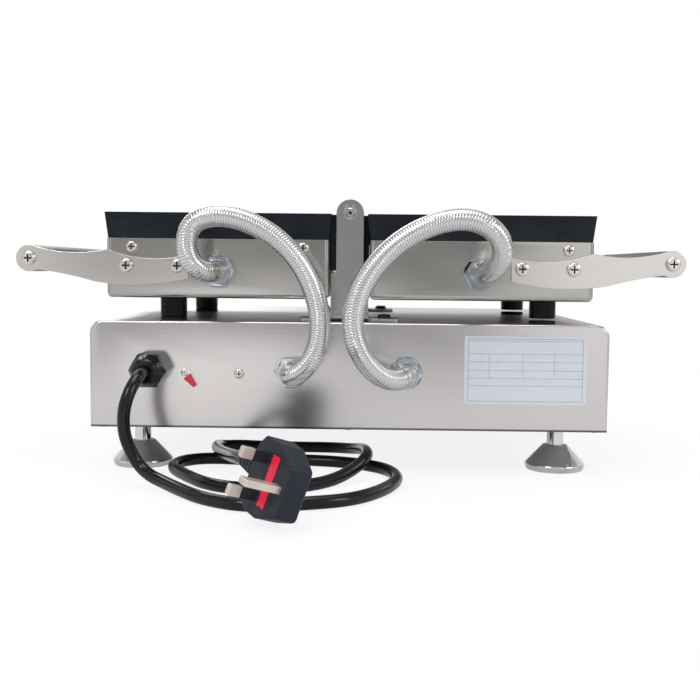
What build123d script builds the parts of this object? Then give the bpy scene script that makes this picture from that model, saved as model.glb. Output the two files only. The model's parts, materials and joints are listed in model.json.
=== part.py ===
from build123d import *
from math import atan, cos, degrees, hypot, pi, radians, sin, tan
import os

# Book-type Belgian waffle maker with two mould halves that turn on one pin.
# Millimetres, +Z up, floor at Z = 0. The cook stands at -Y. Hoses and mains lead leave at +Y.
# Right is +X. The pivot pin lies along Y above X = 0, and both halves lie open on their legs.

# Base box
BASE_W = 360.0
BASE_D = 290.0
BASE_H = 74.4
SHEET = 1.2
TOP_BEND_R = 9.0
EDGE_R = 1.6
LIP_W = 13.0
FIT = 0.3
RUN_FIT = 0.08

# Levelling feet
FOOT_H = 31.8
FOOT_INSET_X = 30.0
FOOT_INSET_Y = 33.0
FOOT_R = 21.7
FOOT_SOLE_R = 20.2
FOOT_LIP_H = 4.2
FOOT_CONE_H = 18.0
FOOT_TOP_R = 8.6
STUD_R = 5.8
STUD_REACH = 18.0
STUD_NUT_AF = 19.0
STUD_NUT_H = 9.0

# Bottom plate
VENT_W = 4.0
VENT_L = 46.0
VENT_PITCH = 11.0
VENT_COUNT = 6
VENT_X = 70.0
BOTTOM_SCREW_R = 2.0

# Halves
PIVOT_RISE = 75.8
RIM_DROP = 1.0
RIM_H = 18.0
RIM_DRAFT = 2.0
RIM_CORNER_R = 3.0
HOUSING_H = 41.0
HOUSING_W = 154.3
HOUSING_D = 194.0
HOUSING_T = 1.2
HOUSING_CORNER_R = 3.0
HOUSING_BELLY_R = 3.5
SLOT_HALF = 14.2
REAR_SETBACK = 3.0

# Waffle cavity
CAVITY_W = 132.0
CAVITY_D = 166.0
CAVITY_DEPTH = 16.0
CAVITY_DRAFT_DEG = 8.0
CAVITY_CORNER_R = 9.0
PEG_ROWS = 4
PEG_COLUMNS = 5
PEG_H = 10.6
PEG_GAP = 9.0
PEG_DRAFT_DEG = 11.0
SKIRT_H = 11.0

# Hinge lugs, pin and posts
PIN_R = 3.4
PIN_PROUD = 3.2
PIN_GROOVE = 0.4
CLIP_T = 1.0
CLIP_R = 4.9
CLIP_EAR_R = 1.3
CLIP_SPREAD = 2.3
LUG_R = 8.0
LUG_T = 10.0
LUG_GAP = 0.4
FIN_INNER = 3.0
FIN_H = 40.0
FIN_CLEAR = 0.6
POST_T = 2.5
POST_INSET = 9.0
POST_TOP_HALF = 9.6
POST_LOW_HALF = 13.2
POST_STEP_H = 34.1
POST_FOOT_HALF = 35.0
POST_FOOT_D = 26.0
POST_BEND_R = 5.0
POST_CORNER_R = 3.0
RELIEF_W = 2.0
POST_SCREW_X = 24.5
POST_SCREW_IN = 8.5
POST_SCREW_R = 2.45
POST_SCREW_HEAD_R = 4.75
POST_SCREW_HEAD_H = 2.75
POST_NUT_AF = 8.0
POST_NUT_H = 4.0

# Legs and rest pads
LEG_R = 9.25
LEG_X_RIGHT = 124.2
LEG_X_LEFT = 135.8
LEG_INSET = 17.0
LEG_SPACING = 153.0
LEG_GAP_RIGHT = 0.3
LEG_GAP_LEFT = 1.8
LEG_STUD_R = 3.0
LEG_STUD_REACH = 5.0
PAD_T = 2.0

# Heating parts inside each half
HEATER_R = 4.0
HEATER_IN_X = 22.0
HEATER_IN_Y = 20.0
HEATER_BEND_R = 16.0
HEATER_TAIL_HALF = 12.0
CLAMP_T = 1.8
CLAMP_BOSS_R = 5.0
INSULATION_GAP = 10.0
INSULATION_REAR_GAP = 28.0
PROBE_R = 3.0
PROBE_L = 80.0

# Handles
ARM_T = 2.5
EYE_X = 221.5
EYE_DROP = 33.4
EYE_R = 9.2
ARM_INNER_X = 111.3
ARM_END_RISE = 3.4
ARM_END_DROP = 13.0
ARM_WAIST_RISE = 0.6
ARM_CREST_RISE = 6.7
ARM_NECK_RISE = 4.4
ARM_BELLY_DROP = 17.7
ARM_FLANK_DROP = 15.6
ARM_NECK_DROP = 11.2
ARM_SCREW_X_IN = 7.3
ARM_SCREW_PITCH = 35.3
ARM_SCREW_DROP = 4.4
GRIP_R = 9.2
GRIP_EDGE_R = 1.2

# Pan head screws
M5_HEAD_R = 4.9
M5_HEAD_H = 3.3
M5_R = 2.45
M4_HEAD_R = 3.9
M4_HEAD_H = 2.7
M4_R = 1.95
HOUSING_SCREW_X_IN = 17.8
HOUSING_SCREW_DROP = 5.8
SCREW_BITE = 7.0

# Hoses and their fittings
HOSE_R = 7.0
HOSE_ROOT_R = 6.4
HOSE_BORE_R = 4.8
RIB_PITCH = 1.75
FITTING_FLANGE_R = 11.6
FITTING_FLANGE_T = 1.2
FITTING_AF = 19.5
FITTING_HEX_H = 7.5
FITTING_COLLAR_R = 8.2
FITTING_COLLAR_H = 2.5
FITTING_THREAD_R = 7.4
FITTING_REACH = 9.0
FITTING_NUT_AF = 20.6
FITTING_NUT_H = 4.0
HALF_FITTING_X = 90.2
HALF_FITTING_DROP = 41.5
BASE_FITTING_X = 39.8
BASE_FITTING_H = 40.0

# Routes of the hoses: control points between the straight ends at the half's and the base's fitting
HOSE_STRAIGHT = 20.5
HOSE_RIGHT = [
    (96.5, 185.0, 141.0),
    (103.5, 191.0, 148.0),
    (106.0, 194.0, 160.0),
    (102.0, 195.0, 171.0),
    (91.5, 196.0, 176.5),
    (77.0, 196.0, 176.5),
    (61.0, 195.0, 171.5),
    (46.0, 194.5, 162.5),
    (33.0, 194.0, 149.5),
    (23.0, 193.5, 132.0),
    (18.0, 193.0, 113.0),
    (18.5, 192.0, 96.0),
    (23.5, 190.5, 83.0),
    (32.0, 186.0, 74.0),
]
HOSE_LEFT = [
    (-94.5, 184.0, 143.5),
    (-98.5, 191.0, 151.5),
    (-97.0, 194.0, 162.5),
    (-88.0, 196.0, 171.5),
    (-75.0, 196.0, 175.5),
    (-60.0, 195.5, 174.0),
    (-43.0, 195.0, 167.5),
    (-27.0, 194.5, 156.5),
    (-14.0, 194.0, 141.5),
    (-5.5, 193.5, 125.0),
    (-2.5, 193.0, 107.5),
    (-7.0, 192.0, 91.0),
    (-16.5, 190.0, 77.5),
    (-28.5, 186.5, 70.5),
]

# Rear wall fittings
GLAND_X = 136.5
GLAND_H = 41.2
GLAND_AF = 22.4
GLAND_FLANGE_T = 6.0
GLAND_NUT_H = 12.5
GLAND_DOME_H = 8.5
GLAND_NOSE_R = 7.4
GLAND_THREAD_R = 7.6
GLAND_REACH = 10.0
GLAND_LOCKNUT_AF = 22.0
GLAND_LOCKNUT_H = 4.5
EARTH_X = 113.8
EARTH_H = 38.5
EARTH_HEAD_R = 2.6
EARTH_HEAD_H = 1.8
EARTH_R = 1.45
PANEL_SCREW_X = 75.8
PANEL_SCREW_H = 38.2
PANEL_HEAD_R = 3.4
PANEL_HEAD_H = 2.4
RATING_X = 122.3
RATING_H = 42.4
RATING_W = 84.5
RATING_TALL = 47.4
RATING_T = 0.5

# Front controls
CONTROL_H = 37.0
KNOB_X = 96.0
KNOB_SKIRT_R = 23.0
KNOB_SKIRT_T = 4.0
KNOB_R = 17.5
KNOB_STAND = 1.0
KNOB_BORE_DEPTH = 15.0
SHAFT_R = 3.0
BUSH_R = 5.0
BUSH_H = 0.8
THERMOSTAT_W = 42.0
THERMOSTAT_H = 36.0
THERMOSTAT_D = 30.0
LAMP_X = 50.0
LAMP_BEZEL_R = 7.0
LAMP_BEZEL_T = 1.5
LAMP_LENS_R = 5.2
LAMP_LENS_H = 3.6
LAMP_BODY_R = 4.8
LAMP_BODY_L = 22.0
SWITCH_W = 30.0
SWITCH_H = 24.0
SWITCH_BEZEL_T = 2.0
SWITCH_DEPTH = 24.0
SWITCH_WALL = 3.0
ROCKER_R = 8.6
ROCKER_CLEAR = 0.35
ROCKER_TILT_DEG = 8.0
ROCKER_PEAK = 5.2
ROCKER_VALLEY = 3.0
ROCKER_PIN_R = 1.4
ROCKER_PIN_L = 1.0
TERMINAL_W = 64.0
TERMINAL_D = 24.0
TERMINAL_H = 18.0
TERMINAL_X = 100.0
TERMINAL_Y = 74.0
TERMINAL_WAYS = 4
WIRE_R = 1.6
WIRE_RUN = 14.0
LEAD_TAIL_R = 4.2

# Mains lead and plug
CORD_R = 4.2
PLUG_FACE = (46.0, 290.0, 27.4)
PLUG_PIN_WAY = (0.810, 0.505, 0.295)
PLUG_LINE_WAY = (0.322, 0.036, -0.946)
PLUG_HALF_W = 22.0
PLUG_END_HALF_W = 15.0
PLUG_DEPTH = 20.0
PLUG_EARTH_DEPTH = 14.0
PLUG_EARTH_END = 30.0
PLUG_CORD_END = 15.0
PLUG_SHOULDER = 8.5
PLUG_CORNER_R = 4.0
PLUG_BACK_R = 2.5
PIN_HALF_SPACING = 11.1
EARTH_PIN_OUT = 22.2
LINE_PIN_W = 6.35
LINE_PIN_T = 4.0
LINE_PIN_L = 17.7
SLEEVE_L = 9.5
SLEEVE_WALL = 0.5
EARTH_PIN_W = 8.0
EARTH_PIN_T = 4.0
EARTH_PIN_L = 22.7
PIN_ROOT = 6.0
FUSE_L = 30.0
FUSE_W = 8.4
FUSE_OUT = 10.6
FUSE_DEEP = 5.0
FUSE_PROUD = 0.4
RELIEF_AXIS_DEEP = 8.5
RELIEF_L = 24.0
RELIEF_ROOT_R = 7.4
RELIEF_TIP_R = 5.6
RELIEF_RINGS = 4

# Route of the mains lead: control points from the gland to the plug, both ends are added to it
CORD_ROUTE = [
    (137.4, 190.5, 70.5),
    (141.0, 198.0, 62.0),
    (145.5, 200.0, 50.0),
    (146.5, 197.0, 36.0),
    (143.5, 191.0, 23.0),
    (138.0, 187.0, 12.5),
    (129.5, 188.5, 6.5),
    (119.0, 199.0, 4.6),
    (105.0, 220.0, 4.4),
    (86.0, 246.0, 4.4),
    (58.0, 264.0, 4.4),
    (24.0, 256.0, 4.4),
    (-6.0, 243.0, 4.4),
    (-27.0, 210.0, 4.4),
    (-35.5, 174.0, 4.4),
    (-26.0, 141.0, 4.4),
    (2.0, 121.0, 4.4),
    (36.0, 114.0, 4.4),
    (72.0, 117.0, 4.4),
    (102.0, 111.0, 4.4),
    (120.0, 124.0, 4.4),
    (123.0, 148.0, 4.4),
    (108.0, 176.0, 4.4),
    (88.0, 206.0, 4.4),
    (60.0, 219.0, 4.4),
    (32.0, 210.0, 4.4),
    (8.0, 190.0, 4.6),
    (-7.0, 165.0, 8.5),
    (-13.5, 141.0, 15.5),
    (-17.0, 116.0, 15.5),
    (-16.0, 92.0, 7.5),
    (-7.0, 70.0, 4.5),
    (14.0, 57.0, 4.4),
    (42.0, 60.0, 4.4),
    (70.0, 57.5, 4.4),
    (89.0, 53.0, 4.4),
    (101.0, 59.0, 4.5),
    (105.0, 73.0, 5.5),
    (102.5, 88.0, 9.5),
    (98.5, 103.0, 14.5),
    (94.5, 122.0, 17.0),
    (90.0, 145.0, 17.5),
    (84.0, 172.0, 20.5),
    (77.0, 203.0, 26.5),
]
CORD_FIRST_RUN = 10.5
CORD_LAST_RUN = 21.0
CORD_RADIUS_SHARE = 0.45

BASE_REAR = BASE_D / 2
BASE_FRONT = -BASE_D / 2
BASE_BOTTOM = FOOT_H
BASE_TOP = BASE_BOTTOM + BASE_H
PIN_Z = BASE_TOP + PIVOT_RISE
RIM_TOP = PIN_Z - RIM_DROP
RIM_BOTTOM = RIM_TOP - RIM_H
SKIRT_BOTTOM = RIM_BOTTOM - SKIRT_H
HOUSING_BOTTOM = RIM_BOTTOM - HOUSING_H
HOUSING_FLOOR = HOUSING_BOTTOM + HOUSING_T
HALF_REAR = BASE_REAR - REAR_SETBACK
HALF_FRONT = HALF_REAR - HOUSING_D
HALF_MID_Y = (HALF_REAR + HALF_FRONT) / 2
HALF_OUTER = SLOT_HALF + HOUSING_W
HALF_MID_X = SLOT_HALF + HOUSING_W / 2
EYE_Z = PIN_Z - EYE_DROP
POST_REAR_Y = HALF_REAR - POST_INSET
POST_FRONT_Y = HALF_FRONT + POST_INSET + POST_T
HALF_FITTING_Z = PIN_Z - HALF_FITTING_DROP
BASE_FITTING_Z = BASE_BOTTOM + BASE_FITTING_H
FITTING_OUT = FITTING_FLANGE_T + FITTING_HEX_H + FITTING_COLLAR_H
GLAND_OUT = GLAND_FLANGE_T + GLAND_NUT_H + GLAND_DOME_H
CONTROL_Z = BASE_BOTTOM + CONTROL_H
RIGHT = 1
LEFT = -1
REARWARD = 1
FORWARD = -1
LEG_X = {RIGHT: LEG_X_RIGHT, LEFT: LEG_X_LEFT}
LEG_GAP = {RIGHT: LEG_GAP_RIGHT, LEFT: LEG_GAP_LEFT}
LEG_YS = [BASE_REAR - LEG_INSET, BASE_REAR - LEG_INSET - LEG_SPACING]
LUG_STEP = LUG_T + LUG_GAP
LUG_REAR_FACE = POST_REAR_Y - POST_T - LUG_GAP
LUG_FRONT_FACE = POST_FRONT_Y + LUG_GAP + LUG_T
LUG_YS = {
    RIGHT: [LUG_REAR_FACE, LUG_FRONT_FACE + LUG_STEP],
    LEFT: [LUG_REAR_FACE - LUG_STEP, LUG_FRONT_FACE],
}


def on_side(shape, side):
    """Gives a shape modelled for the right half, or its mirror image for the left half."""
    return shape if side == RIGHT else mirror(shape, about=Plane.YZ)


def wall_plane(x, y, z, way):
    """Gives a plane on a front or rear wall, with its normal along +Y or -Y."""
    return Plane(origin=(x, y, z), x_dir=(1, 0, 0), z_dir=(0, way, 0))


def flat_plane(x, y, z, way=1):
    """Gives a level plane with its normal up, or down for a way of -1."""
    return Plane(origin=(x, y, z), x_dir=(1, 0, 0), z_dir=(0, 0, way))


def rod(plane, radius, start, end):
    """Gives a cylinder along a plane's normal, from start to end."""
    return plane * (Pos(0, 0, (start + end) / 2) * Cylinder(radius, end - start))


def block(x0, x1, y0, y1, z0, z1):
    """Gives a box between six coordinates."""
    middle = Pos((x0 + x1) / 2, (y0 + y1) / 2, (z0 + z1) / 2)
    return middle * Box(x1 - x0, y1 - y0, z1 - z0)


def hexagon(plane, across_flats, start, end):
    """Gives a hexagonal prism along a plane's normal, with flats at its top and bottom."""
    outline = plane * (Pos(0, 0, start) * RegularPolygon(across_flats / 2, 6, major_radius=False))
    return extrude(outline, amount=end - start, dir=plane.z_dir)


def hex_nut(plane, across_flats, thread_r, start, end):
    """Gives a nut with a bore and corners turned down on its outer face."""
    turned = rod(plane, across_flats / 2 / cos(radians(30)) - 0.02 * across_flats, start, end)
    nut = hexagon(plane, across_flats, start, end) & turned
    return nut - rod(plane, thread_r, start - FIT, end + FIT)


def pan_screw(plane, head_r, head_h, shank_r, length):
    """Gives a cross recessed pan head screw whose head stands on a plane."""
    head = Pos(0, 0, head_h / 2) * Cylinder(head_r, head_h)
    head = fillet(head.edges().sort_by(Axis.Z)[-1], head_h * 0.6)
    shank = Pos(0, 0, -length / 2) * Cylinder(shank_r, length)
    arm = Box(head_r * 1.1, head_r * 0.24, head_h)
    recess = Pos(0, 0, head_h * 0.9) * (arm + Rot(0, 0, 90) * arm)
    return plane * (head + shank - recess)


def button_screw(plane, head_r, head_h, shank_r, length):
    """Gives a button head screw with a hexagonal socket."""
    head = Pos(0, 0, head_h / 2) * Cylinder(head_r, head_h)
    head = fillet(head.edges().sort_by(Axis.Z)[-1], head_h * 0.7)
    shank = Pos(0, 0, -length / 2) * Cylinder(shank_r, length)
    socket = hexagon(Plane.XY, head_r * 0.65, head_h * 0.35, head_h + FIT)
    return plane * (head + shank - socket)


def arc_face(points_and_arcs):
    """Gives a face from a closed chain of points; a triple stands for an arc through its middle point."""
    edges = []
    here = points_and_arcs[0]
    for step in points_and_arcs[1:] + [points_and_arcs[0]]:
        if isinstance(step[0], tuple):
            edges.append(ThreePointArc(here, step[0], step[1]))
            here = step[1]
        elif hypot(step[0] - here[0], step[1] - here[1]) > 1e-6:
            edges.append(Line(here, step))
            here = step
    return make_face(edges)


def slab_xz(face, rear_y, thickness):
    """Extrudes a face drawn in X and Z from its rear plane forwards."""
    return extrude(wall_plane(0, rear_y, 0, FORWARD) * face, amount=thickness)


def rounded_pan(x0, x1, y0, y1, z0, z1, corner_r, belly_r):
    """Gives a solid with rounded upright corners and a rounded lower edge."""
    outline = flat_plane((x0 + x1) / 2, (y0 + y1) / 2, z0) * RectangleRounded(x1 - x0, y1 - y0, corner_r)
    solid = extrude(outline, amount=z1 - z0)
    return fillet(solid.faces().sort_by(Axis.Z)[0].edges(), belly_r)


def tapered_block(plane, wide, deep, height, draft_deg, corner_r):
    """Gives a block on a plane whose walls lean inwards towards its top."""
    lean = 2 * height * tan(radians(draft_deg))
    low = plane * RectangleRounded(wide, deep, corner_r)
    high = plane * (Pos(0, 0, height) * RectangleRounded(wide - lean, deep - lean, corner_r * 0.6))
    return loft([low.face(), high.face()])


def folded_box(width, depth, height, bend_r, rear_y, bottom_z):
    """Gives a block whose two top edges along Y are bends."""
    outline = Rectangle(width, height)
    outline = fillet(outline.vertices().group_by(Axis.Y)[-1], bend_r)
    return extrude(wall_plane(0, rear_y, bottom_z + height / 2, FORWARD) * outline, amount=depth)


def foot_places():
    """Gives the four feet as name, X and Y."""
    x = BASE_W / 2 - FOOT_INSET_X
    y = BASE_D / 2 - FOOT_INSET_Y
    return [
        ("foot_rear_right", x, y),
        ("foot_rear_left", -x, y),
        ("foot_front_right", x, -y),
        ("foot_front_left", -x, -y),
    ]


def bottom_screw_places():
    """Gives the places of the screws in the return lips."""
    x = BASE_W / 2 - SHEET - LIP_W / 2
    y = BASE_D / 2 - SHEET - LIP_W / 2
    return [(sx * x, sy * y) for sx in (-1, 1) for sy in (-1, 1)] + [(0, y), (0, -y)]


def post_screw_places():
    """Gives the places of the screws in the feet of both hinge posts."""
    rows = [POST_REAR_Y - POST_SCREW_IN, POST_FRONT_Y - POST_SCREW_IN]
    return [(side * POST_SCREW_X, y) for side in (RIGHT, LEFT) for y in rows]


def leg_places():
    """Gives the places of the four legs and their rest pads."""
    return [(side * LEG_X[side], y) for side in (RIGHT, LEFT) for y in LEG_YS]


def base_shell():
    """Folded box, open below, with holes for all that passes through it."""
    shell = folded_box(BASE_W, BASE_D, BASE_H, TOP_BEND_R, BASE_REAR, BASE_BOTTOM)
    for face in (shell.faces().sort_by(Axis.Y)[0], shell.faces().sort_by(Axis.Y)[-1]):
        rims = [edge for edge in face.edges() if edge.center().Z > BASE_BOTTOM + FIT]
        shell = fillet(rims, EDGE_R)
    hollow = folded_box(
        BASE_W - 2 * SHEET,
        BASE_D - 2 * SHEET,
        BASE_H,
        TOP_BEND_R - SHEET,
        BASE_REAR - SHEET,
        BASE_BOTTOM - SHEET,
    )
    shell -= hollow
    lip_z = BASE_BOTTOM + SHEET
    half_w = BASE_W / 2 - SHEET / 2
    half_d = BASE_D / 2 - SHEET / 2
    lips = block(-half_w, half_w, -half_d, half_d, lip_z, lip_z + SHEET)
    in_w = BASE_W / 2 - SHEET - LIP_W
    in_d = BASE_D / 2 - SHEET - LIP_W
    lips -= block(-in_w, in_w, -in_d, in_d, lip_z - FIT, lip_z + SHEET + FIT)
    shell += lips
    for x, y in bottom_screw_places():
        shell -= rod(flat_plane(x, y, lip_z), BOTTOM_SCREW_R + FIT / 3, -FIT, SHEET + FIT)
    for x, y in post_screw_places():
        shell -= rod(flat_plane(x, y, BASE_TOP), POST_SCREW_R + FIT / 3, -SHEET - FIT, FIT)
    rear = [
        (BASE_FITTING_X, BASE_FITTING_Z, FITTING_THREAD_R),
        (-BASE_FITTING_X, BASE_FITTING_Z, FITTING_THREAD_R),
        (GLAND_X, BASE_BOTTOM + GLAND_H, GLAND_THREAD_R),
        (EARTH_X, BASE_BOTTOM + EARTH_H, EARTH_R),
        (PANEL_SCREW_X, BASE_BOTTOM + PANEL_SCREW_H, M4_R),
    ]
    for x, z, radius in rear:
        shell -= rod(wall_plane(x, BASE_REAR, z, REARWARD), radius + FIT / 3, -SHEET - FIT, FIT)
    front = [(side * KNOB_X, BUSH_R) for side in (RIGHT, LEFT)]
    front += [(side * LAMP_X, LAMP_BODY_R) for side in (RIGHT, LEFT)]
    for x, radius in front:
        shell -= rod(wall_plane(x, BASE_FRONT, CONTROL_Z, FORWARD), radius + FIT / 3, -SHEET - FIT, FIT)
    window_w = switch_body_width() / 2 + FIT / 3
    window_h = switch_body_height() / 2 + FIT / 3
    shell -= block(
        -window_w,
        window_w,
        BASE_FRONT - FIT,
        BASE_FRONT + SHEET + FIT,
        CONTROL_Z - window_h,
        CONTROL_Z + window_h,
    )
    return [shell]


def bottom_plate():
    """Flat plate under the return lips, with two rows of vent slots."""
    half_w = BASE_W / 2 - SHEET - FIT
    half_d = BASE_D / 2 - SHEET - FIT
    plate = block(-half_w, half_w, -half_d, half_d, BASE_BOTTOM, BASE_BOTTOM + SHEET)
    for _, x, y in foot_places():
        plate -= rod(flat_plane(x, y, BASE_BOTTOM), STUD_R + RUN_FIT, -FIT, SHEET + FIT)
    for x, y in bottom_screw_places():
        plate -= rod(flat_plane(x, y, BASE_BOTTOM), BOTTOM_SCREW_R + FIT / 3, -FIT, SHEET + FIT)
    slot = extrude(SlotOverall(VENT_L, VENT_W), amount=SHEET * 3)
    for side in (RIGHT, LEFT):
        for i in range(VENT_COUNT):
            y = (i - (VENT_COUNT - 1) / 2) * VENT_PITCH
            plate -= Pos(side * VENT_X, y, BASE_BOTTOM - SHEET) * slot
    return [plate]


def bottom_screws():
    """Screws that hold the bottom plate to the return lips."""
    return [
        pan_screw(flat_plane(x, y, BASE_BOTTOM, -1), M4_HEAD_R, M4_HEAD_H, BOTTOM_SCREW_R, SCREW_BITE)
        for x, y in bottom_screw_places()
    ]


def inner_nuts():
    """Nuts on the foot studs and on the post screws."""
    nuts = []
    for _, x, y in foot_places():
        plane = flat_plane(x, y, BASE_BOTTOM + SHEET)
        nuts.append(hex_nut(plane, STUD_NUT_AF, STUD_R + RUN_FIT, 0, STUD_NUT_H))
    for x, y in post_screw_places():
        plane = flat_plane(x, y, BASE_TOP - SHEET, -1)
        nuts.append(hex_nut(plane, POST_NUT_AF, POST_SCREW_R + FIT / 3, 0, POST_NUT_H))
    return nuts


def levelling_foot(x, y):
    """Cone with a rolled lip and a stud, turned as one piece."""
    outline = Polyline(
        (0, 0),
        (FOOT_SOLE_R, 0),
        (FOOT_R, FOOT_LIP_H),
        (FOOT_TOP_R, FOOT_CONE_H),
        (STUD_R, FOOT_CONE_H),
        (STUD_R, FOOT_H + STUD_REACH),
        (0, FOOT_H + STUD_REACH),
        (0, 0),
    )
    face = make_face(outline)
    lip = [v for v in face.vertices() if abs(v.X - FOOT_R) < 1e-3 or abs(v.X - FOOT_TOP_R) < 1e-3]
    face = fillet(lip, FOOT_LIP_H * 0.4)
    return [Pos(x, y, 0) * revolve(Plane.XZ * face, Axis.Z)]


def rest_pads():
    """Thin discs on the base that the legs come down on."""
    return [rod(flat_plane(x, y, BASE_TOP), LEG_R, 0, PAD_T) for x, y in leg_places()]


def hinge_post(rear_y):
    """Folded post: a stepped upright with a round top, and a foot plate bent forwards."""
    outer_r = POST_BEND_R + POST_T
    front = rear_y - POST_FOOT_D
    step_z = BASE_TOP + POST_STEP_H
    middle = (1 - cos(radians(45)))
    outer_mid = (rear_y - outer_r * middle, BASE_TOP + outer_r * middle)
    inner_mid = (rear_y - POST_T - POST_BEND_R * middle, BASE_TOP + POST_T + POST_BEND_R * middle)
    fold = arc_face([
        (front, BASE_TOP),
        (rear_y - outer_r, BASE_TOP),
        (outer_mid, (rear_y, BASE_TOP + outer_r)),
        (rear_y, step_z),
        (rear_y - POST_T, step_z),
        (rear_y - POST_T, BASE_TOP + outer_r),
        (inner_mid, (rear_y - outer_r, BASE_TOP + POST_T)),
        (front, BASE_TOP + POST_T),
    ])
    post = extrude(Plane.YZ * fold, amount=POST_LOW_HALF, both=True)
    middle_y = (front + rear_y) / 2
    foot_outline = RectangleRounded(2 * POST_FOOT_HALF, POST_FOOT_D, POST_CORNER_R)
    foot = extrude(flat_plane(0, middle_y, BASE_TOP) * foot_outline, amount=POST_T)
    notch = POST_LOW_HALF + RELIEF_W
    foot -= block(-notch, notch, rear_y - outer_r, rear_y + FIT, BASE_TOP - FIT, BASE_TOP + POST_T + FIT)
    post += foot
    upright = Pos(0, (step_z + PIN_Z) / 2) * Rectangle(2 * POST_TOP_HALF, PIN_Z - step_z)
    upright += Pos(0, PIN_Z) * Circle(POST_TOP_HALF)
    post += slab_xz(upright, rear_y, POST_T)
    post -= rod(wall_plane(0, rear_y, PIN_Z, REARWARD), PIN_R + FIT / 3, -POST_T - FIT, FIT)
    for side in (RIGHT, LEFT):
        hole = flat_plane(side * POST_SCREW_X, rear_y - POST_SCREW_IN, BASE_TOP)
        post -= rod(hole, POST_SCREW_R + FIT / 3, -FIT, POST_T + FIT)
    return [post]


def post_screws():
    """Button head screws through the feet of both posts."""
    length = POST_T + SHEET + POST_NUT_H + FIT
    return [
        button_screw(
            flat_plane(x, y, BASE_TOP + POST_T), POST_SCREW_HEAD_R, POST_SCREW_HEAD_H, POST_SCREW_R, length
        )
        for x, y in post_screw_places()
    ]


def pin_ends():
    """Gives the outer faces of the rear and front posts with the way that the pin leaves each."""
    return [(POST_REAR_Y, REARWARD), (POST_FRONT_Y - POST_T, FORWARD)]


def pivot_pin():
    """Pin through both posts and all lugs, grooved near its ends."""
    pin = rod(
        wall_plane(0, 0, PIN_Z, REARWARD), PIN_R, POST_FRONT_Y - POST_T - PIN_PROUD, POST_REAR_Y + PIN_PROUD
    )
    pin = chamfer(pin.edges().filter_by(GeomType.CIRCLE), PIN_R * 0.1)
    for y, way in pin_ends():
        plane = wall_plane(0, y, PIN_Z, way)
        ring = rod(plane, PIN_R + FIT, RUN_FIT, RUN_FIT + CLIP_T + RUN_FIT)
        pin -= ring - rod(plane, PIN_R - PIN_GROOVE, 0, PIN_PROUD)
        pin -= rod(plane, PIN_R * 0.35, PIN_PROUD - PIN_R * 0.4, PIN_PROUD + FIT)
    return [pin]


def pivot_clips():
    """Retaining rings in the grooves of the pin, open at the top between two eared ends."""
    clips = []
    for y, way in pin_ends():
        plane = wall_plane(0, y, PIN_Z, way)
        start = RUN_FIT * 1.5
        ring = rod(plane, CLIP_R, start, start + CLIP_T)
        ears = []
        for side in (RIGHT, LEFT):
            ear_plane = wall_plane(side * CLIP_SPREAD, y, PIN_Z + CLIP_R - CLIP_EAR_R * 0.4, way)
            ears.append(rod(ear_plane, CLIP_EAR_R, start, start + CLIP_T))
            ears[-1] -= rod(ear_plane, CLIP_EAR_R * 0.4, start - FIT, start + CLIP_T + FIT)
        clip = ring + ears[0] + ears[1]
        clip -= rod(plane, PIN_R - PIN_GROOVE + RUN_FIT / 2, start - FIT, start + CLIP_T + FIT)
        gap = CLIP_SPREAD - CLIP_EAR_R
        clip -= block(-gap, gap, y - PIN_PROUD, y + PIN_PROUD, PIN_Z, PIN_Z + 2 * CLIP_R)
        clips.append(clip)
    return clips


def heater_path():
    """Centre line of the heating element, one loop with both tails at the rear."""
    x0 = SLOT_HALF + HEATER_IN_X
    x1 = HALF_OUTER - HEATER_IN_X
    y0 = HALF_FRONT + HEATER_IN_Y
    y1 = HALF_REAR - 2 * HEATER_IN_Y
    tail_y = HALF_REAR - HEATER_IN_Y + HEATER_R
    points = [
        (HALF_MID_X - HEATER_TAIL_HALF, tail_y),
        (HALF_MID_X - HEATER_TAIL_HALF, y1),
        (x0, y1),
        (x0, y0),
        (x1, y0),
        (x1, y1),
        (HALF_MID_X + HEATER_TAIL_HALF, y1),
        (HALF_MID_X + HEATER_TAIL_HALF, tail_y),
    ]
    tail_r = HEATER_BEND_R / 2
    radii = [tail_r] + [HEATER_BEND_R] * 4 + [tail_r]
    return FilletPolyline(*[(x, y, SKIRT_BOTTOM) for x, y in points], radius=radii)


def heater_tube(radius):
    """Round bar along the heater's centre line."""
    path = heater_path()
    return sweep(Plane(origin=path @ 0, z_dir=path % 0) * Circle(radius), path)


def probe_plane():
    """Plane square to the thermostat bulb, at the middle of the bulb."""
    return wall_plane(HALF_MID_X, HALF_MID_Y, SKIRT_BOTTOM - HEATER_R + PROBE_R, REARWARD)


def cavity_places():
    """Gives the places of the pegs in the cavity, at its floor."""
    lean = 2 * CAVITY_DEPTH * tan(radians(CAVITY_DRAFT_DEG))
    pitch_x = (CAVITY_W - lean) / PEG_ROWS
    pitch_y = (CAVITY_D - lean) / PEG_COLUMNS
    places = []
    for i in range(PEG_ROWS):
        for j in range(PEG_COLUMNS):
            x = HALF_MID_X + (i - (PEG_ROWS - 1) / 2) * pitch_x
            y = HALF_MID_Y + (j - (PEG_COLUMNS - 1) / 2) * pitch_y
            places.append((x, y, pitch_x - PEG_GAP, pitch_y - PEG_GAP))
    return places


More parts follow.
